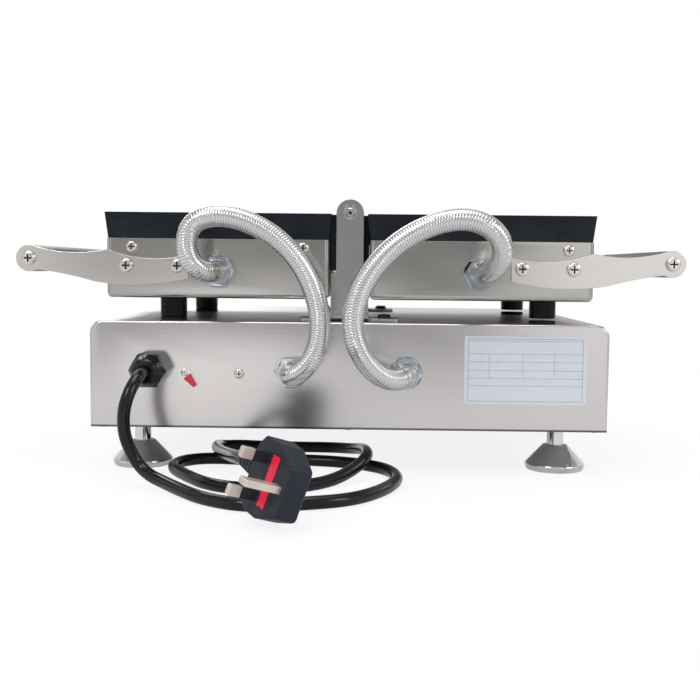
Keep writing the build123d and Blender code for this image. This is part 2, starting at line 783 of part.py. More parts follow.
def lug_face():
    """Outline of a hinge lug: an eye round the pin, a web into the rim and a fin hanging beside the post."""
    eye = Pos(0, PIN_Z) * Circle(LUG_R)
    fin_outer = SLOT_HALF - FIN_CLEAR
    fin_h = RIM_TOP - (PIN_Z - FIN_H)
    fin = Pos((FIN_INNER + fin_outer) / 2, RIM_TOP - fin_h / 2) * Rectangle(fin_outer - FIN_INNER, fin_h)
    web_end = SLOT_HALF + 2 * RIM_DRAFT
    web_w = web_end - FIN_INNER
    web = Pos(FIN_INNER + web_w / 2, RIM_TOP - RIM_H / 2) * Rectangle(web_w, RIM_H - 2 * FIT)
    return eye + fin + web


def rim_block():
    """Solid of the plate's rim, whose walls lean outwards towards the top."""
    inner = SLOT_HALF + FIT / 3
    outer = HALF_OUTER - 2 * FIT
    rim_w = outer - inner + 2 * RIM_DRAFT
    rim_d = HOUSING_D - 2 * FIT + 2 * RIM_DRAFT
    low = flat_plane((inner + outer) / 2, HALF_MID_Y, RIM_BOTTOM)
    high = flat_plane((inner + outer) / 2, HALF_MID_Y, RIM_TOP)
    low_face = low * RectangleRounded(rim_w - 2 * RIM_DRAFT, rim_d - 2 * RIM_DRAFT, RIM_CORNER_R)
    high_face = high * RectangleRounded(rim_w, rim_d, RIM_CORNER_R)
    return loft([low_face.face(), high_face.face()])


def hinge_lugs(side):
    """Two lugs that stand against the plate's inner wall and turn on the pin."""
    lugs = []
    for y in LUG_YS[side]:
        lug = slab_xz(lug_face(), y, LUG_T) - rim_block()
        lug -= rod(wall_plane(0, HALF_MID_Y, PIN_Z, REARWARD), PIN_R + RUN_FIT, -HOUSING_D, HOUSING_D)
        lugs.append(on_side(lug, side))
    return lugs


def mould_plate(side):
    """Cast plate: tapered rim, skirt inside the housing, waffle cavity with pegs, and grooves."""
    plate = rim_block()
    clear = 2 * (HOUSING_T + FIT)
    skirt = RectangleRounded(HOUSING_W - clear, HOUSING_D - clear, HOUSING_CORNER_R - HOUSING_T)
    plate += extrude(flat_plane(HALF_MID_X, HALF_MID_Y, SKIRT_BOTTOM) * skirt, amount=SKIRT_H + FIT)
    mouth = Plane(origin=(HALF_MID_X, HALF_MID_Y, RIM_TOP), x_dir=(1, 0, 0), z_dir=(0, 0, -1))
    plate -= tapered_block(mouth, CAVITY_W, CAVITY_D, CAVITY_DEPTH, CAVITY_DRAFT_DEG, CAVITY_CORNER_R)
    floor = RIM_TOP - CAVITY_DEPTH
    pegs = [
        tapered_block(flat_plane(x, y, floor - FIT), wide, deep, PEG_H + FIT, PEG_DRAFT_DEG, PEG_GAP / 3)
        for x, y, wide, deep in cavity_places()
    ]
    plate = plate.fuse(*pegs)
    plate -= heater_tube(HEATER_R + FIT / 2)
    plate -= rod(probe_plane(), PROBE_R + FIT / 2, -PROBE_L / 2 - FIT, PROBE_L / 2 + FIT)
    for y, x, way in housing_screw_places():
        bore = wall_plane(x, y, RIM_BOTTOM - HOUSING_SCREW_DROP, way)
        plate -= rod(bore, M4_R + FIT / 3, -SCREW_BITE - FIT, FIT)
    return [on_side(plate, side)]


def housing_screw_places():
    """Gives wall Y, X and way out of the four screws that hold the housing to the plate."""
    xs = [SLOT_HALF + HOUSING_SCREW_X_IN, HALF_OUTER - HOUSING_SCREW_X_IN]
    walls = [(HALF_REAR, REARWARD), (HALF_FRONT, FORWARD)]
    return [(y, x, way) for y, way in walls for x in xs]


def arm_screw_places():
    """Gives wall Y, X and way out of the four screws that hold the arms to the housing."""
    xs = [ARM_INNER_X + ARM_SCREW_X_IN, ARM_INNER_X + ARM_SCREW_X_IN + ARM_SCREW_PITCH]
    walls = [(HALF_REAR, REARWARD), (HALF_FRONT, FORWARD)]
    return [(y, x, way) for y, way in walls for x in xs]


def half_legs_at(side):
    """Gives the places of one half's legs as if it were the right half."""
    return [(LEG_X[side], y) for y in LEG_YS]


def housing(side):
    """Drawn stainless pan that closes the half from below."""
    pan = rounded_pan(
        SLOT_HALF,
        HALF_OUTER,
        HALF_FRONT,
        HALF_REAR,
        HOUSING_BOTTOM,
        RIM_BOTTOM,
        HOUSING_CORNER_R,
        HOUSING_BELLY_R,
    )
    pan -= rounded_pan(
        SLOT_HALF + HOUSING_T,
        HALF_OUTER - HOUSING_T,
        HALF_FRONT + HOUSING_T,
        HALF_REAR - HOUSING_T,
        HOUSING_FLOOR,
        RIM_BOTTOM + HOUSING_T,
        HOUSING_CORNER_R - HOUSING_T,
        HOUSING_BELLY_R - HOUSING_T,
    )
    for y, x, way in housing_screw_places():
        hole = wall_plane(x, y, RIM_BOTTOM - HOUSING_SCREW_DROP, way)
        pan -= rod(hole, M4_R + FIT / 3, -HOUSING_T - FIT, FIT)
    for y, x, way in arm_screw_places():
        hole = wall_plane(x, y, EYE_Z - ARM_SCREW_DROP, way)
        pan -= rod(hole, M5_R + FIT / 3, -HOUSING_T - FIT, FIT)
    hole = wall_plane(HALF_FITTING_X, HALF_REAR, HALF_FITTING_Z, REARWARD)
    pan -= rod(hole, FITTING_THREAD_R + FIT / 3, -HOUSING_T - FIT, FIT)
    for x, y in half_legs_at(side):
        pan -= rod(flat_plane(x, y, HOUSING_BOTTOM), LEG_STUD_R + FIT / 3, -FIT, HOUSING_T + FIT)
    return [on_side(pan, side)]


def heating_element(side):
    """Tubular heating element in a groove under the plate."""
    return [on_side(heater_tube(HEATER_R), side)]


def element_clamp(side):
    """Sheet under the heating element, held off the plate by four bosses."""
    top = SKIRT_BOTTOM - HEATER_R - FIT / 3
    x0 = SLOT_HALF + HEATER_IN_X - 2 * HEATER_R
    x1 = HALF_OUTER - HEATER_IN_X + 2 * HEATER_R
    y0 = HALF_FRONT + HEATER_IN_Y - 2 * HEATER_R
    y1 = HALF_REAR - 2 * HEATER_IN_Y + 2 * HEATER_R
    sheet = block(x0, x1, y0, y1, top - CLAMP_T, top)
    for x in (x0 + 5 * HEATER_R, x1 - 5 * HEATER_R):
        for y in (y0 + 5 * HEATER_R, y1 - 5 * HEATER_R):
            boss_h = SKIRT_BOTTOM - top + CLAMP_T / 2
            sheet += rod(flat_plane(x, y, top - CLAMP_T / 2), CLAMP_BOSS_R, 0, boss_h)
    return [on_side(sheet, side)]


def insulation(side):
    """Mineral wool slab between the clamp sheet and the housing floor."""
    top = SKIRT_BOTTOM - HEATER_R - FIT / 3 - CLAMP_T - FIT / 3
    slab = block(
        SLOT_HALF + INSULATION_GAP,
        HALF_OUTER - INSULATION_GAP,
        HALF_FRONT + INSULATION_GAP,
        HALF_REAR - INSULATION_REAR_GAP,
        HOUSING_FLOOR,
        top,
    )
    for x, y in half_legs_at(side):
        slab -= rod(flat_plane(x, y, HOUSING_FLOOR), LEG_STUD_R * 2, -FIT, LEG_STUD_REACH + LEG_STUD_R)
    return [on_side(slab, side)]


def thermostat_bulb(side):
    """Sensing bulb between plate and clamp, with its capillary towards the hose fitting."""
    plane = probe_plane()
    bulb = rod(plane, PROBE_R, -PROBE_L / 2, PROBE_L / 2)
    tube_r = PROBE_R / 3
    start = HALF_MID_Y + PROBE_L / 2
    bulb_z = plane.origin.Z
    end = HALF_REAR - FITTING_REACH + FITTING_NUT_H
    path = FilletPolyline(
        (HALF_MID_X, start - tube_r, bulb_z),
        (HALF_MID_X, end - 4 * PROBE_R, bulb_z),
        (HALF_FITTING_X, end - 2 * PROBE_R, HALF_FITTING_Z),
        (HALF_FITTING_X, end, HALF_FITTING_Z),
        radius=PROBE_R,
    )
    capillary = sweep(Plane(origin=path @ 0, z_dir=path % 0) * Circle(tube_r), path)
    return [on_side(bulb + capillary, side)]


def legs(side):
    """Two round legs with studs through the housing floor."""
    pieces = []
    for x, y in half_legs_at(side):
        plane = flat_plane(x, y, HOUSING_BOTTOM, -1)
        leg = rod(plane, LEG_R, 0, HOUSING_BOTTOM - BASE_TOP - PAD_T - LEG_GAP[side])
        leg += rod(plane, LEG_STUD_R, -HOUSING_T - LEG_STUD_REACH, FIT)
        pieces.append(on_side(leg, side))
    return pieces


def arm(side, rear_y):
    """Curved flat arm with an eye at its outer end."""
    crest_x = HALF_OUTER - 1.0
    waist_x = (ARM_INNER_X + crest_x) / 2
    neck_x = (crest_x + EYE_X) / 2
    lean = radians(30)
    face = arc_face([
        (ARM_INNER_X, EYE_Z - ARM_END_DROP),
        (ARM_INNER_X, EYE_Z + ARM_END_RISE),
        ((waist_x, EYE_Z + ARM_WAIST_RISE), (crest_x, EYE_Z + ARM_CREST_RISE)),
        ((neck_x, EYE_Z + ARM_NECK_RISE), (EYE_X - EYE_R * sin(lean), EYE_Z + EYE_R * cos(lean))),
        (EYE_X - EYE_R * sin(lean), EYE_Z - EYE_R * cos(lean) + FIT),
        ((neck_x, EYE_Z - ARM_NECK_DROP), (crest_x + EYE_R, EYE_Z - ARM_FLANK_DROP)),
        ((waist_x + EYE_R / 2, EYE_Z - ARM_BELLY_DROP), (ARM_INNER_X, EYE_Z - ARM_END_DROP)),
    ])
    face += Pos(EYE_X, EYE_Z) * Circle(EYE_R)
    blade = slab_xz(face, rear_y, ARM_T)
    holes = [(x, EYE_Z - ARM_SCREW_DROP) for _, x, _ in arm_screw_places()] + [(EYE_X, EYE_Z)]
    for x, z in set(holes):
        blade -= rod(wall_plane(x, rear_y, z, REARWARD), M5_R + FIT / 3, -ARM_T - FIT, FIT)
    return [on_side(blade, side)]


def grip(side):
    """Round bar between the two arm eyes, tapped at both ends."""
    plane = wall_plane(EYE_X, HALF_MID_Y, EYE_Z, REARWARD)
    bar = rod(plane, GRIP_R, -HOUSING_D / 2, HOUSING_D / 2)
    bar = fillet(bar.edges().filter_by(GeomType.CIRCLE), GRIP_EDGE_R)
    for way in (RIGHT, LEFT):
        end = way * HOUSING_D / 2
        hole_end = end - way * 2 * SCREW_BITE
        bar -= rod(plane, M5_R + FIT / 3, min(end, hole_end) - FIT, max(end, hole_end) + FIT)
    return [on_side(bar, side)]


def arm_screws(side):
    """Six pan head screws: four through the arms into the housing, two into the grip."""
    screws = []
    for y, x, way in arm_screw_places():
        plane = wall_plane(x, y + way * ARM_T, EYE_Z - ARM_SCREW_DROP, way)
        screws.append(pan_screw(plane, M5_HEAD_R, M5_HEAD_H, M5_R, ARM_T + SCREW_BITE))
    for y, way in ((HALF_REAR, REARWARD), (HALF_FRONT, FORWARD)):
        plane = wall_plane(EYE_X, y + way * ARM_T, EYE_Z, way)
        screws.append(pan_screw(plane, M5_HEAD_R, M5_HEAD_H, M5_R, ARM_T + 2 * SCREW_BITE))
    return [on_side(screw, side) for screw in screws]


def housing_screws(side):
    """Four pan head screws through the housing into the plate's skirt."""
    screws = []
    for y, x, way in housing_screw_places():
        plane = wall_plane(x, y, RIM_BOTTOM - HOUSING_SCREW_DROP, way)
        screws.append(pan_screw(plane, M4_HEAD_R, M4_HEAD_H, M4_R, SCREW_BITE))
    return [on_side(screw, side) for screw in screws]


def hose_fitting(x, y, z, wall):
    """Threaded hose fitting through a wall, with its outer hexagon, collar and inner locknut."""
    plane = wall_plane(x, y, z, REARWARD)
    body = rod(plane, FITTING_FLANGE_R, 0, FITTING_FLANGE_T)
    body += hexagon(plane, FITTING_AF, FITTING_FLANGE_T, FITTING_FLANGE_T + FITTING_HEX_H)
    body += rod(plane, FITTING_COLLAR_R, FITTING_FLANGE_T, FITTING_OUT)
    body += rod(plane, FITTING_THREAD_R, -FITTING_REACH, FITTING_FLANGE_T)
    body -= rod(plane, HOSE_BORE_R, -FITTING_REACH - FIT, FITTING_OUT + FIT)
    nut = hex_nut(plane, FITTING_NUT_AF, FITTING_THREAD_R + FIT / 3, -wall - FITTING_NUT_H, -wall)
    return [body, nut]


def corner_radii(points, share=CORD_RADIUS_SHARE):
    """Gives each corner's radius: a share of its shorter run over the tangent of half the turn."""
    radii = []
    for a, b, c in zip(points, points[1:], points[2:]):
        run_in = Vector(*b) - Vector(*a)
        run_out = Vector(*c) - Vector(*b)
        turn = run_in.get_angle(run_out)
        radii.append(share * min(run_in.length, run_out.length) / tan(radians(turn) / 2))
    return radii


def tube_path(points, name):
    """Gives straight runs joined by tangent arcs, and prints its radii and length."""
    radii = corner_radii(points)
    path = FilletPolyline(*points, radius=radii)
    print(f"{name}: length {path.length:.1f}, radii", " ".join(f"{r:.0f}" for r in radii))
    return path


def least_self_gap(path, diameter):
    """Gives the least gap between stretches of a tube that lie over three diameters apart along it."""
    steps = int(path.length / (diameter / 3))
    places = [path.position_at(path.length * i / steps, PositionMode.LENGTH) for i in range(steps + 1)]
    least = path.length
    for i, place in enumerate(places):
        for other in places[i + 10:]:
            least = min(least, (place - other).length - diameter)
    return least


def steady_planes(path, stations):
    """Gives planes square to a path, each with the X axis of the one before it kept steady."""
    x_axis = Vector(0, 0, 1)
    planes = []
    for station in stations:
        way = path.tangent_at(station, PositionMode.LENGTH).normalized()
        x_axis = (x_axis - way * x_axis.dot(way)).normalized()
        place = path.position_at(station, PositionMode.LENGTH)
        planes.append(Plane(origin=place, x_dir=x_axis, z_dir=way))
    return planes


def hose_points(side):
    """Gives a hose's route from the mouth of the half's fitting to the mouth of the base's fitting."""
    inner = HOSE_RIGHT if side == RIGHT else HOSE_LEFT
    start = (side * HALF_FITTING_X, HALF_REAR + FITTING_OUT, HALF_FITTING_Z)
    end = (side * BASE_FITTING_X, BASE_REAR + FITTING_OUT, BASE_FITTING_Z)
    run_out = (start[0], start[1] + HOSE_STRAIGHT, start[2])
    run_in = (end[0], end[1] + HOSE_STRAIGHT, end[2])
    return [start, run_out] + inner + [run_in, end]


def ribbed_hose(side, name):
    """Ribbed metal hose with its bore: a ruled loft through four circles for each rib."""
    path = tube_path(hose_points(side), name)
    ribs = int(path.length / RIB_PITCH)
    pitch = path.length / ribs
    form = [(0.0, HOSE_ROOT_R), (0.25, HOSE_R), (0.6, HOSE_R), (0.85, HOSE_ROOT_R)]
    stations = [(i + part) * pitch for i in range(ribs) for part, _ in form] + [path.length]
    sizes = [radius for _ in range(ribs) for _, radius in form] + [HOSE_ROOT_R]
    planes = steady_planes(path, stations)
    circles = [(plane * Circle(radius)).face() for plane, radius in zip(planes, sizes)]
    outside = loft(circles, ruled=True)
    bore = sweep(Plane(origin=path @ 0, z_dir=path % 0) * Circle(HOSE_BORE_R), path)
    hose = outside - bore
    print(f"{name}: {ribs} ribs, least gap to itself {least_self_gap(path, 2 * HOSE_R):.1f}")
    return [hose]


def cable_gland():
    """Gland body through the rear wall with its flange, seal and inner locknut."""
    plane = wall_plane(GLAND_X, BASE_REAR, BASE_BOTTOM + GLAND_H, REARWARD)
    body = hexagon(plane, GLAND_AF, 0, GLAND_FLANGE_T)
    body += rod(plane, GLAND_THREAD_R, -GLAND_REACH, GLAND_FLANGE_T)
    body += rod(plane, GLAND_NOSE_R - 2 * SHEET, GLAND_FLANGE_T, GLAND_OUT - GLAND_DOME_H / 4)
    body -= rod(plane, CORD_R, -GLAND_REACH - FIT, 0)
    nut = hex_nut(
        plane, GLAND_LOCKNUT_AF, GLAND_THREAD_R + FIT / 3, -SHEET - GLAND_LOCKNUT_H, -SHEET
    )
    return [body, nut]


def gland_nut():
    """Dome nut that squeezes the gland's seal round the lead."""
    plane = wall_plane(GLAND_X, BASE_REAR, BASE_BOTTOM + GLAND_H, REARWARD)
    start = GLAND_FLANGE_T + FIT / 3
    shoulder = start + GLAND_NUT_H
    corner_r = GLAND_AF / 2 / cos(radians(30))
    nut = hexagon(plane, GLAND_AF, start, shoulder)
    outline = make_face(Polyline(
        (0, start),
        (corner_r, start),
        (corner_r, shoulder - 2 * SHEET),
        (GLAND_AF / 2, shoulder),
        (GLAND_NOSE_R + SHEET, GLAND_OUT - SHEET),
        (GLAND_NOSE_R, GLAND_OUT),
        (0, GLAND_OUT),
        (0, start),
    ))
    turned = revolve(Plane.XZ * outline, Axis.Z)
    dome = plane * (turned & rod(Plane.XY, GLAND_AF / 2, start, GLAND_OUT))
    shaped = plane * turned
    nut = (nut & shaped) + dome
    nut -= rod(plane, GLAND_NOSE_R - 2 * SHEET + FIT / 3, start - FIT, GLAND_OUT + FIT)
    return [nut]


def earth_screw():
    """Small screw of the earth bond on the rear wall."""
    plane = wall_plane(EARTH_X, BASE_REAR, BASE_BOTTOM + EARTH_H, REARWARD)
    return [pan_screw(plane, EARTH_HEAD_R, EARTH_HEAD_H, EARTH_R, SCREW_BITE)]


def panel_screw():
    """Single cross recessed screw on the rear wall."""
    plane = wall_plane(PANEL_SCREW_X, BASE_REAR, BASE_BOTTOM + PANEL_SCREW_H, REARWARD)
    return [pan_screw(plane, PANEL_HEAD_R, PANEL_HEAD_H, M4_R, SCREW_BITE)]


def rating_plate():
    """Bare plate on the rear wall."""
    z = BASE_BOTTOM + RATING_H
    plate = wall_plane(-RATING_X, BASE_REAR, z, REARWARD) * RectangleRounded(RATING_W, RATING_TALL, SHEET)
    return [extrude(plate, amount=RATING_T)]


def thermostats():
    """Two thermostats behind the front wall, each with a bush and a shaft through it."""
    pieces = []
    inner_y = BASE_FRONT + SHEET
    for side in (RIGHT, LEFT):
        x = side * KNOB_X
        body = block(
            x - THERMOSTAT_W / 2,
            x + THERMOSTAT_W / 2,
            inner_y,
            inner_y + THERMOSTAT_D,
            CONTROL_Z - THERMOSTAT_H / 2,
            CONTROL_Z + THERMOSTAT_H / 2,
        )
        plane = wall_plane(x, BASE_FRONT, CONTROL_Z, FORWARD)
        body += rod(plane, BUSH_R, -SHEET - FIT, BUSH_H)
        body += rod(plane, SHAFT_R, -SHEET, KNOB_STAND + KNOB_BORE_DEPTH - FIT)
        pieces.append(body)
    return pieces


def thermostat_knob(side):
    """Skirted knob with a bar grip and a blind bore for the shaft."""
    plane = wall_plane(side * KNOB_X, BASE_FRONT, CONTROL_Z, FORWARD)
    reach = GLAND_OUT
    skirt = rod(Plane.XY, KNOB_SKIRT_R, KNOB_STAND, KNOB_STAND + KNOB_SKIRT_T)
    skirt = chamfer(skirt.edges().sort_by(Axis.Z)[-1], KNOB_SKIRT_T * 0.3)
    body = rod(Plane.XY, KNOB_R, KNOB_STAND, reach)
    body = fillet(body.edges().sort_by(Axis.Z)[-1], KNOB_SKIRT_T * 0.4)
    knob = skirt + body
    scallop = KNOB_R * 0.8
    for way in (RIGHT, LEFT):
        knob -= Pos(way * (KNOB_R + scallop * 0.35), 0, 0) * rod(
            Plane.XY, scallop, KNOB_STAND + KNOB_SKIRT_T * 1.5, reach + FIT
        )
    line = Box(SHEET, KNOB_R, SHEET)
    knob -= Pos(0, KNOB_R / 2 + SHEET, reach) * line
    knob -= rod(Plane.XY, SHAFT_R + RUN_FIT, 0, KNOB_STAND + KNOB_BORE_DEPTH)
    knob -= rod(Plane.XY, BUSH_R + FIT, 0, KNOB_STAND + BUSH_H + FIT)
    return [plane * knob]


def switch_body_width():
    """Gives the width of the switch housing behind its bezel."""
    return SWITCH_W - SWITCH_WALL


def switch_body_height():
    """Gives the height of the switch housing behind its bezel."""
    return SWITCH_H - SWITCH_WALL


def rocker_half_width():
    """Gives half the rocker's width inside the switch housing."""
    return switch_body_width() / 2 - SWITCH_WALL


def power_switch():
    """Switch housing with a window, a round pocket for the rocker and two pin holes."""
    front = BASE_FRONT
    bezel = block(
        -SWITCH_W / 2,
        SWITCH_W / 2,
        front - SWITCH_BEZEL_T,
        front,
        CONTROL_Z - SWITCH_H / 2,
        CONTROL_Z + SWITCH_H / 2,
    )
    body = block(
        -switch_body_width() / 2,
        switch_body_width() / 2,
        front,
        front + SWITCH_DEPTH,
        CONTROL_Z - switch_body_height() / 2,
        CONTROL_Z + switch_body_height() / 2,
    )
    across = Plane(origin=(0, front, CONTROL_Z), x_dir=(0, 1, 0), z_dir=(1, 0, 0))
    half = rocker_half_width() + ROCKER_CLEAR
    pocket = rod(across, ROCKER_R + ROCKER_CLEAR, -half, half)
    pin_half = rocker_half_width() + ROCKER_PIN_L + ROCKER_CLEAR
    pin_holes = rod(across, ROCKER_PIN_R + RUN_FIT, -pin_half, pin_half)
    return [bezel + body - pocket - pin_holes]


def switch_rocker():
    """Rocker with a hollowed front face, tilted to its off stop, and a pin at each side."""
    across = Plane(origin=(0, BASE_FRONT, CONTROL_Z), x_dir=(0, -1, 0), z_dir=(-1, 0, 0))
    half = rocker_half_width()
    side_view = make_face(Polyline(
        (-ROCKER_R / 2, -ROCKER_R),
        (ROCKER_PEAK, -ROCKER_R),
        (ROCKER_VALLEY, 0),
        (ROCKER_PEAK, ROCKER_R),
        (-ROCKER_R / 2, ROCKER_R),
        (-ROCKER_R / 2, -ROCKER_R),
    ))
    wedge = extrude(side_view, amount=half, both=True) & rod(Plane.XY, ROCKER_R, -half, half)
    rocker = wedge + rod(Plane.XY, ROCKER_PIN_R, -half - ROCKER_PIN_L, half + ROCKER_PIN_L)
    return [across * (Rot(0, 0, ROCKER_TILT_DEG) * rocker)]


def pilot_lamps():
    """Two pilot lamps: bezel, domed lens and body in one solid each."""
    lamps = []
    for side in (RIGHT, LEFT):
        plane = wall_plane(side * LAMP_X, BASE_FRONT, CONTROL_Z, FORWARD)
        lamp = rod(Plane.XY, LAMP_BEZEL_R, 0, LAMP_BEZEL_T)
        lamp = chamfer(lamp.edges().sort_by(Axis.Z)[-1], LAMP_BEZEL_T * 0.4)
        lens = rod(Plane.XY, LAMP_LENS_R, 0, LAMP_LENS_H)
        lens = fillet(lens.edges().sort_by(Axis.Z)[-1], LAMP_LENS_H * 0.5)
        lamps.append(plane * (lamp + lens + rod(Plane.XY, LAMP_BODY_R, -LAMP_BODY_L, LAMP_BEZEL_T)))
    return lamps


def terminal_block():
    """Moulded terminal block on the bottom plate, with a row of screw wells."""
    floor = BASE_BOTTOM + SHEET
    half_w = TERMINAL_W / 2
    half_d = TERMINAL_D / 2
    body = block(
        TERMINAL_X - half_w,
        TERMINAL_X + half_w,
        TERMINAL_Y - half_d,
        TERMINAL_Y + half_d,
        floor,
        floor + TERMINAL_H,
    )
    pitch = TERMINAL_W / TERMINAL_WAYS
    for i in range(TERMINAL_WAYS):
        x = TERMINAL_X + (i - (TERMINAL_WAYS - 1) / 2) * pitch
        body -= rod(flat_plane(x, TERMINAL_Y, floor + TERMINAL_H), pitch / 4, -TERMINAL_H / 3, FIT)
    return [body]


def wire(points, radius, run):
    """Insulated wire with rounded corners and short straight ends."""
    path = FilletPolyline(*points, radius=run / 2)
    return sweep(Plane(origin=path @ 0, z_dir=path % 0) * Circle(radius), path)


def wiring():
    """Inner end of the mains lead and the wires to the thermostats, the switch and the hoses."""
    pitch = TERMINAL_W / TERMINAL_WAYS
    ways = [TERMINAL_X + (i - (TERMINAL_WAYS - 1) / 2) * pitch for i in range(TERMINAL_WAYS)]
    block_z = BASE_BOTTOM + SHEET + TERMINAL_H / 2
    rear_y = TERMINAL_Y + TERMINAL_D / 2
    front_y = TERMINAL_Y - TERMINAL_D / 2
    gland_z = BASE_BOTTOM + GLAND_H
    mains_y = BASE_REAR - GLAND_REACH
    pieces = [wire([
        (GLAND_X, mains_y, gland_z),
        (GLAND_X, mains_y - WIRE_RUN, gland_z),
        (ways[-1], rear_y + WIRE_RUN, block_z),
        (ways[-1], rear_y, block_z),
    ], LEAD_TAIL_R, WIRE_RUN)]
    thermostat_y = BASE_FRONT + SHEET + THERMOSTAT_D
    fronts = [
        (ways[2], KNOB_X, thermostat_y),
        (ways[1], 0, BASE_FRONT + SWITCH_DEPTH),
        (ways[0], -KNOB_X, thermostat_y),
    ]
    for start_x, end_x, end_y in fronts:
        pieces.append(wire([
            (start_x, front_y, block_z),
            (start_x, front_y - WIRE_RUN, block_z),
            (end_x, end_y + WIRE_RUN, CONTROL_Z),
            (end_x, end_y, CONTROL_Z),
        ], WIRE_R, WIRE_RUN))
    side_x = TERMINAL_X - TERMINAL_W / 2
    mouth_y = BASE_REAR - FITTING_REACH / 2
    for side in (RIGHT, LEFT):
        pieces.append(wire([
            (side * BASE_FITTING_X, mouth_y, BASE_FITTING_Z),
            (side * BASE_FITTING_X, mouth_y - WIRE_RUN - FITTING_REACH, BASE_FITTING_Z),
            (side_x - WIRE_RUN, TERMINAL_Y + side * TERMINAL_D / 4, block_z),
            (side_x, TERMINAL_Y + side * TERMINAL_D / 4, block_z),
        ], WIRE_R, WIRE_RUN))
    return pieces


def plug_plane():
    """Plane of the plug: its origin lies between the line pins on the pin face, Z is the way of the pins."""
    way = Vector(*PLUG_PIN_WAY).normalized()
    line = Vector(*PLUG_LINE_WAY)
    line = (line - way * line.dot(way)).normalized()
    return Plane(origin=PLUG_FACE, x_dir=line, z_dir=way)


def plug_outline():
    """Outline of the plug's pin face: X runs along the two line pins, Y towards the earth pin."""
    face = make_face(Polyline(
        (-PLUG_HALF_W, -PLUG_SHOULDER),
        (-PLUG_HALF_W, PLUG_SHOULDER),
        (-PLUG_END_HALF_W, PLUG_EARTH_END),
        (PLUG_END_HALF_W, PLUG_EARTH_END),
        (PLUG_HALF_W, PLUG_SHOULDER),
        (PLUG_HALF_W, -PLUG_SHOULDER),
        (PLUG_END_HALF_W, -PLUG_CORD_END),
        (-PLUG_END_HALF_W, -PLUG_CORD_END),
        (-PLUG_HALF_W, -PLUG_SHOULDER),
    ))
    return fillet(face.vertices(), PLUG_CORNER_R)


def relief_axis():
    """Plane at the foot of the plug's strain relief, in the plug's own frame."""
    return Plane(origin=(0, -PLUG_CORD_END, -RELIEF_AXIS_DEEP), x_dir=(1, 0, 0), z_dir=(0, -1, 0))


def cord_end():
    """Place where the lead enters the strain relief, and the way out of it."""
    local = relief_axis()
    frame = plug_plane()
    tip = frame.from_local_coords(local.origin + local.z_dir * RELIEF_L)
    beyond = frame.from_local_coords(local.origin + local.z_dir * (RELIEF_L + 1))
    return tip, beyond - tip


def plug_body():
    """Moulded plug with pin sleeves, fuse pocket and a tapered, grooved strain relief."""
    body = extrude(plug_outline(), amount=-PLUG_DEPTH)
    side_view = make_face(Polyline(
        (-PLUG_CORD_END - FIT, FIT),
        (PLUG_EARTH_END + FIT, FIT),
        (PLUG_EARTH_END + FIT, -PLUG_EARTH_DEPTH),
        (-PLUG_CORD_END - FIT, -PLUG_DEPTH),
        (-PLUG_CORD_END - FIT, FIT),
    ))
    body &= extrude(Plane.YZ * side_view, amount=PLUG_HALF_W + FIT, both=True)
    back = body.faces().sort_by(Axis.Z)[0]
    body = fillet(back.edges(), PLUG_BACK_R)
    for way in (-1, 1):
        body += Pos(way * PIN_HALF_SPACING, 0, SLEEVE_L / 2) * Box(LINE_PIN_W, LINE_PIN_T, SLEEVE_L)
    for pin in plug_pin_shapes():
        body -= pin
    body -= Pos(0, FUSE_OUT, -FUSE_DEEP / 2) * Box(FUSE_L + 2 * RUN_FIT, FUSE_W + 2 * RUN_FIT, FUSE_DEEP)
    foot = relief_axis()
    relief = loft([
        (foot.offset(-PLUG_CORNER_R) * Circle(RELIEF_ROOT_R)).face(),
        (foot.offset(RELIEF_L) * Circle(RELIEF_TIP_R)).face(),
    ])
    ring_pitch = RELIEF_L / (RELIEF_RINGS + 1)
    for i in range(RELIEF_RINGS):
        at = ring_pitch * (i + 1)
        groove = rod(foot, RELIEF_ROOT_R + FIT, at, at + ring_pitch / 4)
        relief -= groove - rod(foot, RELIEF_TIP_R - SLEEVE_WALL, at - FIT, at + ring_pitch / 4 + FIT)
    body += relief
    return [plug_plane() * body]


def plug_pin_shapes():
    """The three pins in the plug's own frame; the line pins have thinner roots inside their sleeves."""
    pins = []
    for way in (-1, 1):
        tip_l = LINE_PIN_L - SLEEVE_L
        tip = Pos(0, 0, SLEEVE_L + tip_l / 2) * Box(LINE_PIN_W, LINE_PIN_T, tip_l)
        tip = chamfer(tip.faces().sort_by(Axis.Z)[-1].edges(), LINE_PIN_T * 0.25)
        root = Pos(0, 0, (SLEEVE_L - PIN_ROOT) / 2) * Box(
            LINE_PIN_W - 2 * SLEEVE_WALL, LINE_PIN_T - 2 * SLEEVE_WALL, SLEEVE_L + PIN_ROOT
        )
        pins.append(Pos(way * PIN_HALF_SPACING, 0, 0) * (tip + root))
    earth = Pos(0, 0, (EARTH_PIN_L - PIN_ROOT) / 2) * Box(EARTH_PIN_T, EARTH_PIN_W, EARTH_PIN_L + PIN_ROOT)
    earth = chamfer(earth.faces().sort_by(Axis.Z)[-1].edges(), EARTH_PIN_T * 0.25)
    pins.append(Pos(0, EARTH_PIN_OUT, 0) * earth)
    return pins


def plug_pins():
    """Three metal pins of the plug."""
    return [plug_plane() * pin for pin in plug_pin_shapes()]


def fuse_carrier():
    """Fuse carrier in the pin face, with a nick at each end."""
    depth = FUSE_DEEP + FUSE_PROUD
    carrier = Pos(0, FUSE_OUT, FUSE_PROUD - depth / 2) * Box(FUSE_L, FUSE_W, depth)
    for way in (-1, 1):
        carrier -= Pos(way * FUSE_L / 2, FUSE_OUT, FUSE_PROUD) * Cylinder(FUSE_W / 6, FUSE_PROUD * 3)
    return [plug_plane() * carrier]


